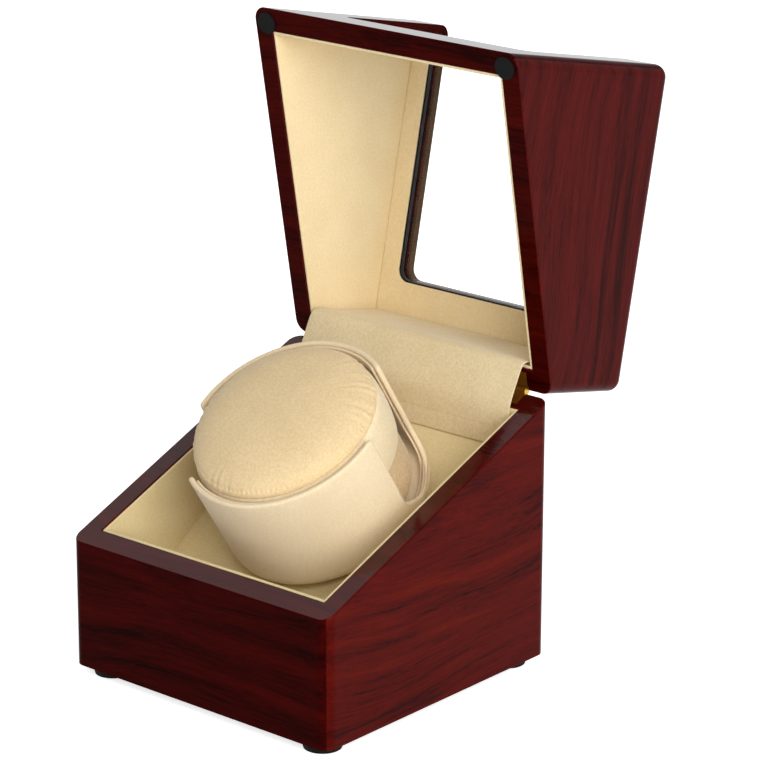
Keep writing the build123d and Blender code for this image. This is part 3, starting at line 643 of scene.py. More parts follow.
FINISHES = (
    # Rosewood under piano lacquer: a deep wine red with near-black streaks and a wet, thin shine.
    # One veneer in per-face copies: the front is darkest, painted shade, the right side and back
    # show more red, painted light, and the lid's sides add a painted pale reflection. The sawn rims
    # look smoky.
    LacqueredVeneer(
        "rosewood_lacquer_base_front", ("#170101", "#2e0201", "#430502"), lean=2.5, gloss=1.06
    ),
    LacqueredVeneer("rosewood_lacquer_base_side", ("#210302", "#470603", "#5d0f05"), Grain.ALONG),
    LacqueredVeneer(
        "rosewood_lacquer_lid_front", ("#1a0201", "#350402", "#4d0905"), **LID, gloss=1.06
    ),
    # The lid's side and back colours are greyer reds: a painted pale reflection over painted light.
    LacqueredVeneer(
        "rosewood_lacquer_lid_side", ("#2a0605", "#430d0b", "#591412"), Grain.ALONG, **LID
    ),
    LacqueredVeneer("rosewood_lacquer_base_back", ("#210302", "#470603", "#5d0f05")),
    LacqueredVeneer("rosewood_lacquer_lid_back", ("#2a0605", "#430d0b", "#591412"), **LID),
    LacqueredVeneer(
        "rosewood_lacquer_base_rim", ("#2c0504", "#3c0706", "#4c0d0a"), gloss=1.3, blur=0.08
    ),
    LacqueredVeneer(
        "rosewood_lacquer_lid_rim", ("#1a0201", "#330301", "#480904"), **LID, gloss=1.06
    ),
    # Microfibre suede, brushed: warm cream, quite matt. The base's copy is darker and more
    # saturated: painted shade and painted warm bounce light down in the base.
    Suede("cream_suede_lid", "#ecd9b0", "#e4cea1"),
    Suede("cream_suede_base", "#e2cf9f", "#d8c392"),
    Suede("cream_suede_cloth", "#e2cfa8", "#d5c095", nap=0.8, relief=0.9),
    Suede("cream_suede_cup", "#e9d6b3", "#e2cda9", relief=0.35),
    # Cut velvet: the crown's pile is coarse and golden, the band is smoother and paler.
    # The slim body under the band is a darker copy: painted shade.
    Suede("cream_velvet", "#e6cc9f", "#d9bf91", nap=0.5, relief=0.8, sheen=0.3),
    Suede("cream_velvet_band", "#ecdab6", "#e4cfa8", relief=0.5),
    Suede("cream_velvet_body_painted_shade", "#d9bf96", "#c6a77d", nap=0.6, relief=0.8),
    ClearAcrylic(),
    # Brushed black paint on wood, and moulded rubber: near black, dull, hardly any highlight.
    Moulded("black_bead_paint", "#0f0b0a", specular=0.25),
    Moulded("black_rubber", "#0a0b0c", roughness=0.75, relief=0.3, specular=0.12),
    # Metals: rolled brass is a warm soft mirror, zinc-plated steel and turned aluminium are grey
    # and satin, sintered bronze is brown and grainy, nickel plate is bright.
    Moulded("rolled_brass", "#d9ae4a", roughness=0.35, metallic=1.0, relief=0.05),
    Moulded("plated_steel", "#a5a6a8", roughness=0.35, metallic=1.0, relief=0.05),
    Moulded("turned_aluminium", "#b4b6ba", roughness=0.4, metallic=1.0),
    Moulded("sintered_bronze", "#8a6236", metallic=1.0, relief=0.3),
    Moulded("nickel_plate", "#bdbdbd", roughness=0.2, metallic=1.0),
    # Moulded plastics: black ABS with a low shine, milky acetal.
    Moulded("black_moulded_plastic", "#121212", roughness=0.4),
    Moulded("pale_acetal", "#dcdcd8", roughness=0.45),
    # Planed pine is dry and uneven, the painted board flat black, the solder resist green.
    Moulded("bare_pine", "#b08a5c", roughness=0.8, grit=1.2, relief=0.4, drift=0.25),
    Moulded("black_painted_board", "#121111", roughness=0.7, relief=0.4),
    Moulded("green_solder_resist", "#0e4a26", roughness=0.35),
)

# The boards of the two halves of the case.
BOARDS = {
    "base": ("front", "back", "left", "right"),
    "lid": ("front", "top", "back", "left", "right"),
}

# Parts that keep their CAD shape: body, CAD node, piece, finish and material slot.
FITTINGS = (
    ("lid", "window_pane", "window_pane_clear", "clear_acrylic", "clear_pane"),
    ("lid", "window_bead", "window_bead_black", "black_bead_paint", "black_bead"),
    ("base", "feet", "rubber_feet", "black_rubber", "black_rubber"),
    ("base", "hinge_base_leaves", "hinge_base_brass", "rolled_brass", "brass"),
    ("base", "hinge_pins", "hinge_pin_brass", "rolled_brass", "brass"),
    ("base", "power_inlet", "power_socket", "black_moulded_plastic", "black_plastic"),
    ("base", "mode_selector", "mode_switch", "black_moulded_plastic", "black_plastic"),
    ("base", "panel_nuts", "nickel_nuts", "nickel_plate", "nickel"),
    ("lid", "lid_bumpers", "rubber_bumpers", "black_rubber", "black_rubber"),
    ("lid", "hinge_lid_leaves", "hinge_lid_brass", "rolled_brass", "brass"),
    ("knob", "mode_knob", "knob_cap", "black_moulded_plastic", "black_plastic"),
)

# CAD nodes of the mechanism that stay as they are, by finish.
MECHANISM = {
    "plated_steel": (
        *("bottom_screws", "housing_screws", "motor_screws", "bracket_screws", "cup_screws"),
        *("spindle", "spindle_screws", "retaining_ring", "motor_shaft"),
        *("motor_bracket", "gear_motor"),
    ),
    "turned_aluminium": ("spindle_housing", "turntable"),
    "sintered_bronze": ("spindle_bush",),
    "pale_acetal": ("drive_pulley", "motor_pulley"),
    "black_rubber": ("drive_belt",),
    "bare_pine": ("deck_rails",),
    "black_painted_board": ("bottom_panel",),
    "green_solder_resist": ("control_board",),
}


@dataclass
class Casework(Assembly):
    """The lacquered boards of the base or of the lid."""

    rim_spread: float = 12.0
    skin_reach: float = 0.02
    agreement: float = 0.9

    def build(self, looks: Looks) -> None:
        """Make each board's lacquered skin.

        Args:
            looks: the finishes by name; the side's is for the left and right boards.
        """
        for side in BOARDS[self.body]:
            kind = {"left": "side", "right": "side", "back": "back"}.get(side, "front")
            source = f"{self.body}_{side}_board"
            # The front, side and back finishes are lit and shaded copies of one veneer: painted
            # light and shade.
            finish = looks[f"rosewood_lacquer_{self.body}_{kind}"]
            piece = even_normals(merged_copy(source, f"{self.body}_{side}_veneer", finish))
            self.true_normals(piece)
            self.edge_finish(piece, looks[f"rosewood_lacquer_{self.body}_rim"])
            self.place(piece, "veneer_front" if kind == "front" else "veneer_side", source)

    def edge_finish(self, piece: Object, sawn: Material) -> None:
        """Give the faces that lie along the saw line their own finish.

        Args:
            piece: a board's copy.
            sawn: the lacquered edge.
        """
        piece.data.materials.append(sawn)
        facing = read_items(piece.data.polygons, "normal")
        if self.body == "lid":
            facing = CASE.turned(facing, shut=True)
        up = -1 if self.body == "lid" else 1
        rim = np.array([0.0, -math.sin(CASE.slope), math.cos(CASE.slope)]) * up
        on_rim = facing @ rim > math.cos(math.radians(self.rim_spread))
        piece.data.polygons.foreach_set("material_index", on_rim.astype(np.int32))

    def true_normals(self, piece: Object) -> None:
        """Give the case's outer skin the exact normals of a rounded box.

        On that skin the normal points from the nearest point of the box shrunk by the edge radius,
        so flats stay flat and no mitre shows through the lacquer.

        Args:
            piece: a board's copy, with its weighted normals not yet applied.
        """
        evaluated = piece.evaluated_get(bpy.context.evaluated_depsgraph_get())
        normals = read_items(evaluated.to_mesh().corner_normals, "vector")
        evaluated.to_mesh_clear()
        piece.modifiers.clear()
        mesh = piece.data
        points = read_items(mesh.vertices, "co") / MM
        if self.body == "lid":
            points = CASE.opened(points, shut=True)
        r, far = CASE.edge_round, 1e3
        low = np.array([-CASE.width / 2 + r, CASE.front + r, -far])
        high = np.array([CASE.width / 2 - r, CASE.back - r, CASE.top - r])
        away = points - np.clip(points, low, high)
        distance = np.linalg.norm(away, axis=1)
        exact = away / np.maximum(distance, 1e-9)[:, None]
        if self.body == "lid":
            exact = CASE.turned(exact)
        corners = read_items(mesh.loops, "vertex_index", 1)
        totals = read_items(mesh.polygons, "loop_total", 1)
        face_of = np.repeat(np.arange(len(totals)), totals)
        exact = exact[corners]
        facing = read_items(mesh.polygon_normals, "vector")[face_of]
        on_skin = (np.abs(distance - r) < self.skin_reach)[corners]
        agree = (exact * facing).sum(1) > self.agreement
        whole = np.ones(len(totals), bool)
        np.logical_and.at(whole, face_of, on_skin & agree)
        use = whole[face_of]
        normals[use] = exact[use]
        mesh.normals_split_custom_set(normals.tolist())


@dataclass
class Linings(Assembly):
    """Thin boards wrapped in suede: their edges are soft and their corners creased."""

    softness: float = 0.35
    flat_within: float = 1.5
    sharp_beyond: float = 35.0

    def build(self, looks: Looks) -> None:
        """Wrap each lining board, and in the base the deck.

        Args:
            looks: the finishes by name.
        """
        nodes = [f"{self.body}_{side}_lining" for side in BOARDS[self.body]]
        for name in nodes + ["deck_panel"] * (self.body == "base"):
            wrapped = name.replace("lining", "suede").replace("panel", "suede")
            # The base's suede is a darker copy of the lid's: painted shade.
            piece = merged_copy(name, wrapped, looks[f"cream_suede_{self.body}"])
            self.soften(piece)
            self.place(piece, "suede_lining", name)

    def soften(self, piece: Object) -> None:
        """Join a board's flat triangles to whole faces and round its edges.

        Args:
            piece: the board's merged copy.
        """
        work = bmesh.new()
        work.from_mesh(piece.data)
        flat, sharp = math.radians(self.flat_within), math.radians(self.sharp_beyond)
        bmesh.ops.dissolve_limit(work, angle_limit=flat, verts=work.verts, edges=work.edges)
        bmesh.ops.bevel(
            work,
            geom=[e for e in work.edges if e.is_manifold and e.calc_face_angle(0.0) > sharp],
            offset=self.softness * MM,
            offset_type="OFFSET",
            segments=3,
            profile=0.5,
            affect="EDGES",
            clamp_overlap=True,
        )
        for edge in work.edges:
            edge.smooth = True
        work.to_mesh(piece.data)
        work.free()
        even_normals(piece)


@dataclass
class RotorCup(Assembly):
    """The suede-covered cup or its inner lining: a pot with two cheeks and two notches."""

    name: str = "rotor_cup"
    radius: float = 48.0
    wall: float = 2.4
    floor: float = 3.6
    corner: float = 6.5
    least_corner: float = 0.6
    shave: float = 0.0
    hole: float = 4.2
    cheek: float = 60.0
    notch_half: float = 21.5
    notch_bottom: float = 8.7
    notch_shoulder: float = 18.0
    spacing: float = 0.9
    rows: int = 18
    notch_steps: int = 60
    side_steps: int = 80
    cheek_steps: int = 90
    lip_steps: int = 7
    outer_steps: tuple[int, int] = (10, 9)
    inner_steps: tuple[int, int] = (8, 7)
    rim_rounding: int = 3
    foot_spread: tuple[float, float] = (0.93, 1.5)

    def rim(self) -> tuple[np.ndarray, np.ndarray]:
        """Work out the line that the cup's upper edge follows.

        On the unrolled wall it goes along each notch's arc, up its side, along the cheek's level
        top and down again, sampled at even steps and rounded where they meet.

        Returns:
            The line's run and height in millimetres, and each column's angle at the wall's foot.
        """
        half, bottom = self.notch_half + self.shave, self.notch_bottom - self.shave
        shoulder, top = self.notch_shoulder, self.cheek - self.shave
        sagitta, quarter_turn, whole_turn = shoulder - bottom, math.pi / 2, 2 * math.pi
        notch_r = (half**2 + sagitta**2) / (2 * sagitta)
        edge = math.asin(half / self.radius)
        turn = np.linspace(0, edge, self.notch_steps)
        arc = bottom + notch_r - np.sqrt(notch_r**2 - (self.radius * np.sin(turn)) ** 2)
        rise = np.linspace(shoulder, top, self.side_steps)[1:]
        over = np.linspace(edge, quarter_turn, self.cheek_steps)[1:]
        near, far = (edge * share for share in self.foot_spread)
        quarter = np.column_stack(
            [
                np.concatenate([turn, np.full(len(rise), edge), over]),
                np.concatenate([arc, rise, np.full(len(over), top)]),
                np.concatenate(
                    [
                        np.linspace(0, near, len(turn)),
                        np.linspace(near, far, len(rise) + 1)[1:],
                        np.linspace(far, quarter_turn, len(over) + 1)[1:],
                    ]
                ),
            ]
        )
        shift = np.array([math.pi, 0, math.pi])
        halfway = np.concatenate([quarter, quarter[::-1][1:] * np.array([-1, 1, -1]) + shift])
        whole = np.concatenate([halfway[:-1], halfway[:-1] + shift])
        around = whole_turn * self.radius
        flat = np.column_stack([whole[:, 0] * self.radius, whole[:, 1:]])
        closed = np.concatenate([flat, flat[:1] + np.array([around, 0, whole_turn])])
        length = run_length(closed[:, :2])
        steps = np.linspace(0, length[-1], int(length[-1] / self.spacing) + 1)[:-1]
        line = np.stack([np.interp(steps, length, column) for column in closed.T], 1)
        ramp = np.linspace(0, 1, len(line), endpoint=False)
        wound = np.stack([around * ramp, 0 * ramp, whole_turn * ramp], 1)
        line = smoothed_loop(line - wound, self.rim_rounding) + wound
        return line[:, :2], line[:, 2]

    def flank(
        self,
        radius: float,
        corner: float,
        floor: float,
        steps: tuple[int, int],
        below: np.ndarray,
        edge: np.ndarray,
    ) -> list[tuple]:
        """Run from the floor's hole, round the lower corner and straight up the wall.

        Args:
            radius: the outer or inner wall's.
            corner: the rounding's radius.
            floor: the floor's level.
            steps: how many rings lie on the floor and round the corner.
            below: angle of each column at the foot.
            edge: angle and height of each column at the rim.

        Returns:
            Radius, angle and height of each ring.
        """
        reach, start = radius - corner - self.hole, floor + corner
        out = [self.hole + reach * share for share in np.linspace(0, 1, steps[0])[:-1]]
        rings = [(along, below, floor) for along in out]
        for turn in np.linspace(0, math.pi / 2, steps[1]):
            rise = floor + corner * (1 - math.cos(turn))
            rings.append((radius - corner * (1 - math.sin(turn)), below, rise))
        for share in np.linspace(0, 1, self.rows)[1:]:
            angle = below + (edge[:, 0] - below) * share
            rings.append((radius, angle, start + (edge[:, 1] - start) * share))
        return rings

    def build(self, looks: Looks) -> None:
        """Make the cup as one closed skin.

        Each column runs from the hole in the floor up the outside to the rim, over it in a half
        circle, and down the inside to the hole again.

        Args:
            looks: the finishes by name.
        """
        line, below = self.rim()
        step = np.roll(line, -1, 0) - np.roll(line, 1, 0)
        step[[0, -1], 0] += 2 * math.pi * self.radius
        tangent = unit(step)
        inward = np.stack([tangent[:, 1], -tangent[:, 0]], 1)
        half = self.wall / 2
        edge = line + inward * half
        edge[:, 0] /= self.radius
        lip = []
        for turn in np.linspace(0, math.pi, self.lip_steps + 2)[1:-1]:
            spot = line + inward * half * (1 - math.sin(turn))
            out = self.radius - half * (1 - math.cos(turn))
            lip.append((out, spot[:, 0] / self.radius, spot[:, 1]))
        round_in = max(self.least_corner, self.corner - self.wall)
        inner, raised = self.radius - self.wall, self.floor + self.wall
        outside = self.flank(
            self.radius, self.corner, self.floor, self.outer_steps, below, edge
        )
        inside = self.flank(inner, round_in, raised, self.inner_steps, below, edge)
        rings = outside + lip + inside[::-1]
        radii, angles, heights = (
            np.array([np.broadcast_to(ring[k], len(line)) for ring in rings]) for k in range(3)
        )
        points = CASE.rotor(radii, angles, heights)
        faces = grid_faces(len(rings), len(line), True, True)
        piece = make_piece(self.name + "_suede", points, faces, looks["cream_suede_cup"])
        self.place(outward(piece), "suede_cup", self.name)


@dataclass
class WatchPillow(Assembly):
    """The stuffed round pillow: crowned top, stitched seam and gathers, full band, slim body."""

    # The outline, in millimetres: heights are above the deck, along the spindle.
    radius: float = 43.8
    seam_radius: float = 42.9
    seam: float = 58.5
    crown: float = 71.0
    foot: float = 7.5
    foot_round: float = 6.0
    body_radius: float = 41.2
    band_foot: float = 32.0
    band_round: float = 3.0
    bulge_power: float = 0.7
    groove: float = 0.5
    groove_width: float = 1.5
    seam_half: float = 0.5
    crown_power: float = 2.6
    # How far the gathers reach from the seam on band and crown, and how deep all folds are.
    band_fade: float = 7.0
    fade: float = 5.5
    band_gather: float = 0.3
    band_slack: float = 0.15
    crest_pull: float = 0.35
    crest_gather: float = 0.5
    crest_depth: float = 1.2
    crown_slack: float = 0.2
    stitch_inset: float = 1.3
    stitch_half: float = 0.5
    seam_depth: float = 0.25
    stitch_depth: float = 0.45
    stitches: int = 110
    # How finely it is made.
    columns: int = 660
    dome_rows: int = 60
    band_rows: int = 30
    round_rows: int = 10
    seat_rows: int = 12

    def profile(self) -> np.ndarray:
        """Work out the pillow's half outline.

        From the middle of its seat it runs out flat, turns up a quarter circle to the body, swells
        by a sine to the band's turned-in lower edge, bulges up the band by a sine, dips into the
        seam and climbs the crown by a power of the radius.

        Returns:
            Rows of radius, height, and how much the band's and the crown's gathers show there.
        """
        quarter = math.pi / 2
        turn = np.linspace(0, quarter, self.round_rows)[1:]
        base = self.foot + self.foot_round
        swell = np.linspace(0, 1, self.round_rows) * quarter
        band_start, band_top = self.band_foot + self.band_round, self.seam - 0.6
        up = np.linspace(0, 1, self.band_rows)[1:]
        bulge = np.sin(math.pi * up) ** self.bulge_power
        band_r = self.seam_radius + (self.radius - self.seam_radius) * bulge
        below = (1 - up) * (band_top - band_start)
        band_r = band_r - self.groove * np.exp(-(below**2) / self.groove_width)
        edge = self.seam_radius - 0.1
        dome_r = edge * np.cos(np.linspace(0, 1, self.dome_rows) * quarter) ** 0.62
        crown_height = self.crown - self.seam - self.seam_half
        dome_rise = crown_height * (1 - (dome_r / edge) ** self.crown_power) ** 0.5
        straight = np.linspace(base, self.band_foot, self.round_rows)[1:]
        runs = [
            (np.linspace(0, self.body_radius - self.foot_round, self.seat_rows), self.foot),
            (
                self.body_radius - self.foot_round * (1 - np.sin(turn)),
                base - self.foot_round * np.cos(turn),
            ),
            (self.body_radius, straight),
            (
                self.body_radius + (self.seam_radius - self.body_radius) * np.sin(swell),
                self.band_foot + 0.1 + self.band_round * (1 - np.cos(swell)),
            ),
            (band_r, band_start + (band_top - band_start) * up),
            (np.array([self.seam_radius - 1.5]), self.seam - 0.1),
            (dome_r, self.seam + self.seam_half + dome_rise),
        ]
        outline = np.concatenate([np.stack(np.broadcast_arrays(*run), 1) for run in runs])
        level = outline[:, 1]
        near = np.clip((level - self.seam + self.band_fade) / self.band_fade, 0, 1)
        band = near**2 * (level < self.seam)
        crest = np.zeros(len(outline))
        crest[-self.dome_rows :] = np.exp((dome_r - edge) / self.fade)
        return np.column_stack([outline, band, crest])

    def build(self, looks: Looks) -> None:
        """Turn the outline round the spindle, gather it at the seam and pull in its stitches.

        The gathers are a sum of cosines of random phase, so they come unevenly; the slack, a sum
        of slow ones, weakens them in places. They fade away from the seam. The stitches are short
        hollows, one for each turn of a single cosine, on a line just inside the seam.

        Args:
            looks: the finishes by name.
        """
        outline = self.profile()
        angle = np.linspace(0, 2 * math.pi, self.columns, endpoint=False)
        seeded = np.random.default_rng(7)
        sums = []
        for counts, damping in (((31, 38, 47, 53, 61, 74), 0), ((2, 3, 5, 7, 9), 1)):
            total = np.zeros_like(angle)
            for count in counts:
                phase = seeded.uniform(0, 2 * math.pi)
                total += np.cos(count * angle + phase) / count**damping
            sums.append(total / np.abs(total).max())
        folds, slack = sums
        stitch = 0.5 + 0.5 * np.cos(self.stitches * angle)
        radius, height, band, crest = (outline[:, k][:, None] for k in range(4))
        share = np.clip(radius / self.seam_radius, 0, 1)
        on_top = height > self.seam
        off_line = (self.seam_radius - self.stitch_inset - radius) / self.stitch_half
        sewn = np.exp(-(off_line**2)) * on_top
        strength = np.clip(0.35 + 0.9 * slack, 0, 1)
        out = radius + band * (folds * self.band_gather + slack * self.band_slack)
        out = out - crest * (self.crest_pull + self.crest_gather * folds * strength)
        up = height - crest * self.crest_depth * (0.5 + folds * 0.5) * strength
        up = up - sewn * (self.seam_depth + stitch * self.stitch_depth)
        # The factor 6.75 brings the highest value of share**2 * (1 - share) to one.
        up = up + on_top * slack * self.crown_slack * share**2 * (1 - share) * 6.75
        points = CASE.rotor(np.maximum(out, 0), angle[None, :] + 0 * out, up)
        faces = grid_faces(len(outline), self.columns, False, True)
        piece = make_piece("watch_pillow_velvet", points, faces, looks["cream_velvet"])
        for lower in ("cream_velvet_band", "cream_velvet_body_painted_shade"):
            piece.data.materials.append(looks[lower])
        level = (outline[1:, 1] + outline[:-1, 1]) / 2
        # The body below the band takes the darker velvet copy, painted shade.
        kinds = np.where(level > self.seam - 0.2, 0, np.where(level > self.band_foot, 1, 2))
        each = np.repeat(kinds, self.columns).astype(np.int32)
        piece.data.polygons.foreach_set("material_index", each)
        outward(piece, 1e-6)
        self.place(piece, "velvet_pillow", "watch_pillow")


@dataclass
class HingeCloth(Assembly):
    """The suede cloth that is glued to both back linings and hangs over the hinge gap.

    It spans two bodies, so its own body is only what the log calls them.
    """

    thickness: float = 0.8
    half_width: float = 61.6
    glue_gap: float = 0.15
    end_gap: float = 0.4
    lid_hold: float = 13.0
    base_hold: float = 10.0
    lid_roll: float = 2.0
    base_roll: float = 0.9
    lid_bend: float = 8.0
    base_bend: float = 9.0
    wave_depth: float = 0.25
    wave_start: float = 6.0
    waves: tuple[tuple[float, float, float], ...] = ((0.5, 13.0, 0.8), (0.35, 7.1, 2.0))
    edge_softness: float = 0.25
    steps: int = 260
    columns: int = 70

    def rim_spot(self) -> tuple[float, float]:
        """Y and Z, in the shut case, where the cloth leaves the lining."""
        glue = CASE.back - CASE.wall - CASE.lining - self.glue_gap
        return glue, CASE.saw_z(glue)

    @staticmethod
    def proud(before: np.ndarray, corner: np.ndarray, after: np.ndarray) -> np.ndarray:
        """Direction in which a corner points away from its two runs, as a unit vector."""
        return unit(unit(corner - before) + unit(corner - after))

    def line(self) -> np.ndarray:
        """Work out the cloth's own line from lid to deck, seen from the side.

        Flat inside the lid, it rolls softly over the lining, crosses the gap nearly straight and
        comes round onto the base's lining: straight runs between corners that stand a little
        proud, rounded by a moving average.

        Returns:
            n by 2, Y and Z in millimetres.
        """
        glue, saw = self.rim_spot()
        lid_top = CASE.top - CASE.wall - CASE.lining - self.end_gap
        shut = np.array([[0.0, glue, z] for z in (lid_top, saw + self.lid_hold, saw)])
        lid_end, lid_hold, lid_rim = CASE.opened(shut)[:, 1:]
        low_rim, low_hold = np.array([glue, saw]), np.array([glue, saw - self.base_hold])
        end = np.array([glue, CASE.deck_z(glue) + self.end_gap])
        lid_rim = lid_rim + self.proud(lid_hold, lid_rim, low_rim) * self.lid_roll
        low_rim = low_rim + self.proud(lid_rim, low_rim, low_hold) * self.base_roll
        corners = np.array([lid_end, lid_hold, lid_rim, low_rim, low_hold, end])
        length = run_length(corners)
        steps = np.linspace(0, length[-1], self.steps)
        line = np.stack([np.interp(steps, length, column) for column in corners.T], 1)
        at_lid = smoothed_loop(line, int(self.lid_bend / steps[1]))
        at_base = smoothed_loop(line, int(self.base_bend / steps[1]))
        share = eased(np.clip((steps - length[2]) / (length[3] - length[2]), 0, 1)[:, None])
        blended = at_lid * (1 - share) + at_base * share
        window = int(self.base_bend / steps[1]) + 1
        blended[:window] = line[:window]
        blended[-window:] = line[-window:]
        return blended

    def build(self, looks: Looks) -> None:
        """Make the cloth as one thin closed skin, laid for the open lid.

        The line is carried across the case, thickened along its own normal and closed at its four
        edges. Where it hangs free it has slow waves, each a sine with a height, a length and a
        phase.

        Args:
            looks: the finishes by name.
        """
        line = self.line()
        tangent = unit(np.gradient(line, axis=0))
        normal = np.stack([tangent[:, 1], -tangent[:, 0]], 1)
        x = np.linspace(-self.half_width, self.half_width, self.columns)
        length = run_length(line)
        low = np.array(self.rim_spot())
        swung = CASE.opened(np.array([[0, *low]]))[0, 1:]
        lid_at, base_at = (np.linalg.norm(line - spot, axis=1).argmin() for spot in (swung, low))
        free = np.clip((length - length[lid_at] + 1) / self.wave_start, 0, 1)
        free = eased(free * np.clip((length[base_at] - length + 1) / self.wave_start, 0, 1))
        wave = sum(high * np.sin(x / long + phase) for high, long, phase in self.waves)
        layers = []
        for side in (self.thickness, 0.0):
            push = side + free[:, None] * wave[None, :] * self.wave_depth
            flank = [line[:, None, k] + normal[:, None, k] * push for k in range(2)]
            layers.append(np.stack([np.broadcast_to(x, push.shape), *flank], -1))
        points = np.concatenate([layers[0], layers[1][::-1]]) * MM
        rows = len(points)
        faces = [grid_faces(rows, self.columns, True, False)]
        near = np.arange(len(line) - 1)
        ends = np.stack([near, near + 1, rows - 2 - near, rows - 1 - near], 1) * self.columns
        faces += [ends, ends + self.columns - 1]
        shape, skin = points.reshape(-1, 3), np.concatenate(faces)
        piece = outward(make_piece("hinge_cloth_suede", shape, skin, looks["cream_suede_cloth"]))
        soft = piece.modifiers.new("edge", "BEVEL")
        soft.width = self.edge_softness * MM
        soft.segments = 2
        soft.limit_method = "ANGLE"
        soft.angle_limit = math.radians(50)
        even_normals(piece)
        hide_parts("hinge_cloth")
        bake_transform(piece)
        self.made.append(piece.name)


@dataclass
class Fitting(Assembly):
    """A part that keeps its CAD shape, such as the pane, a hinge or a foot, as a smooth copy."""

    source: str
    name: str
    finish: str
    material_slot: str

    def build(self, looks: Looks) -> None:
        """Copy the part's CAD node.

        Args:
            looks: the finishes by name.
        """
        piece = even_normals(merged_copy(self.source, self.name, looks[self.finish]))
        self.place(piece, self.material_slot, self.source)


@dataclass
class Mechanism(Assembly):
    """The drive and the case's inner parts, which stay CAD nodes on their own bodies."""

    def build(self, looks: Looks) -> None:
        """Give each node its finish.

        Args:
            looks: the finishes by name.
        """
        for finish, names in MECHANISM.items():
            for name in names:
                mesh = bpy.data.objects[name].data
                mesh.materials.clear()
                mesh.materials.append(looks[finish])
                self.made.append(name)


@dataclass(frozen=True)
class Lamp:
    """One soft box that faces the object, its place and size in metres and its power in watts."""

    name: str
    spot: tuple[float, float, float]
    size: tuple[float, float]
    power: float
    mirrored: bool = True

    def build(self) -> None:
        """Hang the lamp; where it isn't mirrored, reflections don't show it."""
        light = bpy.data.lights.new(self.name, "AREA")
        light.shape = "RECTANGLE"
        light.size, light.size_y = self.size
        light.energy = self.power
        made = link_object(self.name, light)
        made.location = self.spot
        made.visible_glossy = self.mirrored
        facing = Vector((0, 0, 0.12)) - Vector(self.spot)
        made.rotation_euler = facing.to_track_quat("-Z", "Y").to_euler()


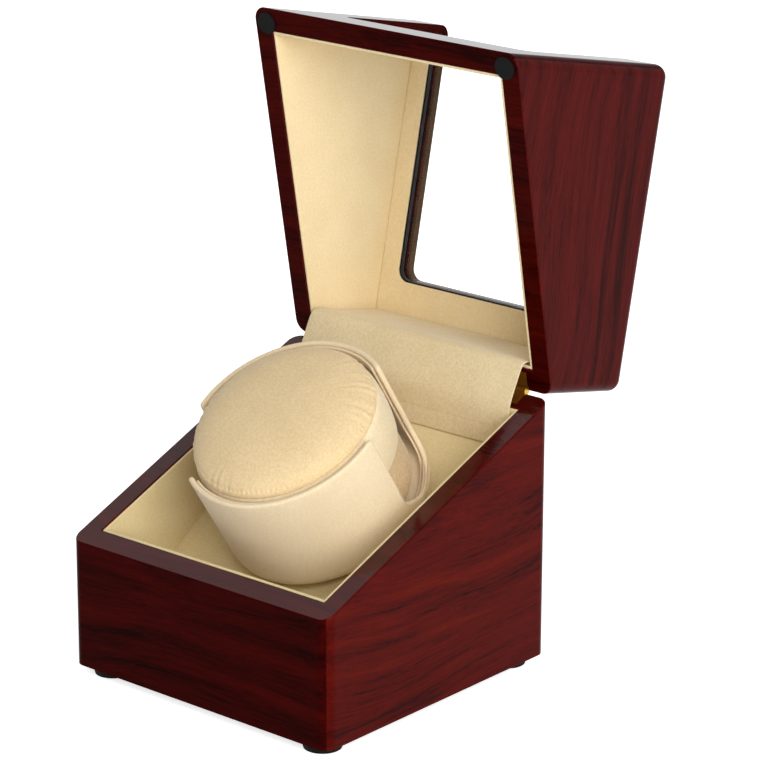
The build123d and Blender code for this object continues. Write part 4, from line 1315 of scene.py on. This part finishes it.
@dataclass
class Studio:
    """Pale floor, soft lamps, and the camera at the photograph's place."""

    focal: float = 166.17
    azimuth: float = 40.681
    elevation: float = 17.981
    roll: float = 0.182
    place: tuple[float, float, float] = (977.6, -1129.109, 606.9)
    fill: float = 0.34
    floor_glow: float = 0.7
    floor_size: float = 12.0
    lamps: tuple[Lamp, ...] = (
        Lamp("lamp_right", (1.45, -0.85, 0.75), (1.2, 1.2), 30.0),
        Lamp("lamp_front", (-0.4, -1.6, 0.9), (0.8, 1.2), 1.5),
        Lamp("lamp_over", (0.3, -0.3, 1.8), (1.4, 1.4), 3.5),
        Lamp("lamp_back", (-0.9, 1.5, 1.1), (1.2, 1.2), 9.0, mirrored=False),
    )

    def camera(self) -> None:
        """Set the camera by its bearing, height angle and roll."""
        turned = Matrix.Translation(Vector(self.place) * MM)
        for angle, axis in ((self.azimuth, "Z"), (90 - self.elevation, "X"), (self.roll, "Z")):
            turned = turned @ Matrix.Rotation(math.radians(angle), 4, axis)
        lens = bpy.data.cameras.new("camera")
        lens.lens = self.focal
        lens.sensor_width = 36.0
        lens.clip_start, lens.clip_end = 0.05, 50.0
        made = link_object("camera", lens)
        made.matrix_world = turned
        bpy.context.scene.camera = made

    @staticmethod
    def seen(tree: Tree) -> bpy.types.NodeSocket:
        """Add up whether a ray is the camera's, a reflection or one through glass.

        Args:
            tree: the world's or the floor's node tree.

        Returns:
            A socket that is one for such a ray and zero for the light on the object.
        """
        path = node(tree, "LightPath").outputs
        total = path["Is Camera Ray"]
        for ray in ("Is Glossy Ray", "Is Transmission Ray"):
            added = node(tree, "Math", {0: total, 1: path[ray]}, operation="ADD", use_clamp=True)
            total = added.outputs[0]
        return total

    def world(self) -> None:
        """Surround the object with soft light that is seen as plain white."""
        made = bpy.data.worlds.new("studio")
        made.use_nodes = True
        tree = made.node_tree
        tree.nodes.clear()
        sky = {"Color": (0.94, 0.96, 1.0, 1.0), "Strength": self.fill}
        soft = node(tree, "Background", sky).outputs[0]
        white = node(tree, "Background", {"Color": WHITE, "Strength": 1.0}).outputs[0]
        both = node(tree, "MixShader", {0: self.seen(tree), 1: soft, 2: white})
        node(tree, "OutputWorld", {"Surface": both.outputs[0]})
        bpy.context.scene.world = made

    def floor(self) -> None:
        """Lay a pale matt floor under everything, seen as white with the object's shadow kept."""
        made, tree, shader, _ = new_material("studio_floor")
        paint = {"Base Color": linear("#f4f3f1"), "Roughness": 0.9, "Specular IOR Level": 0.1}
        feed(tree, shader, paint)
        glow = node(tree, "Math", {0: self.seen(tree), 1: self.floor_glow}, operation="MULTIPLY")
        white = node(tree, "Emission", {"Color": WHITE, "Strength": glow.outputs[0]})
        both = node(tree, "AddShader", {0: shader.outputs[0], 1: white.outputs[0]})
        feed(tree, tree.nodes["Material Output"], {"Surface": both.outputs[0]})
        reach = self.floor_size
        corners = [(-reach, -reach, 0), (reach, -reach, 0), (reach, reach, 0), (-reach, reach, 0)]
        mesh = bpy.data.meshes.new("studio_floor")
        mesh.from_pydata(corners, [], [(0, 1, 2, 3)])
        mesh.materials.append(made)
        floor = link_object("studio_floor", mesh)

    def build(self) -> None:
        """Set up floor, lamps, world and camera."""
        bpy.context.scene.view_settings.view_transform = "Standard"
        self.world()
        self.floor()
        for lamp in self.lamps:
            lamp.build()
        self.camera()


def main() -> None:
    """Build every sub-assembly in order and report its pieces."""
    logging.basicConfig(level=logging.INFO, format="%(name)s: %(message)s")
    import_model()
    Studio().build()
    looks = {finish.name: finish.build() for finish in FINISHES}
    parts = [
        *(Casework(body) for body in BOARDS),
        *(Linings(body) for body in BOARDS),
        RotorCup("drum"),
        RotorCup(
            "drum", name="cup_lining", radius=45.5, wall=1.2, floor=6.0, corner=4.1, shave=1.2
        ),
        WatchPillow("pillow"),
        HingeCloth("base and lid"),
        *(Fitting(*row) for row in FITTINGS),
        Mechanism("base"),
    ]
    for part in parts:
        part.build(looks)
        for name in part.made:
            LOG.info("%s on %s", name, part.body)


if __name__ == "__main__":
    main()
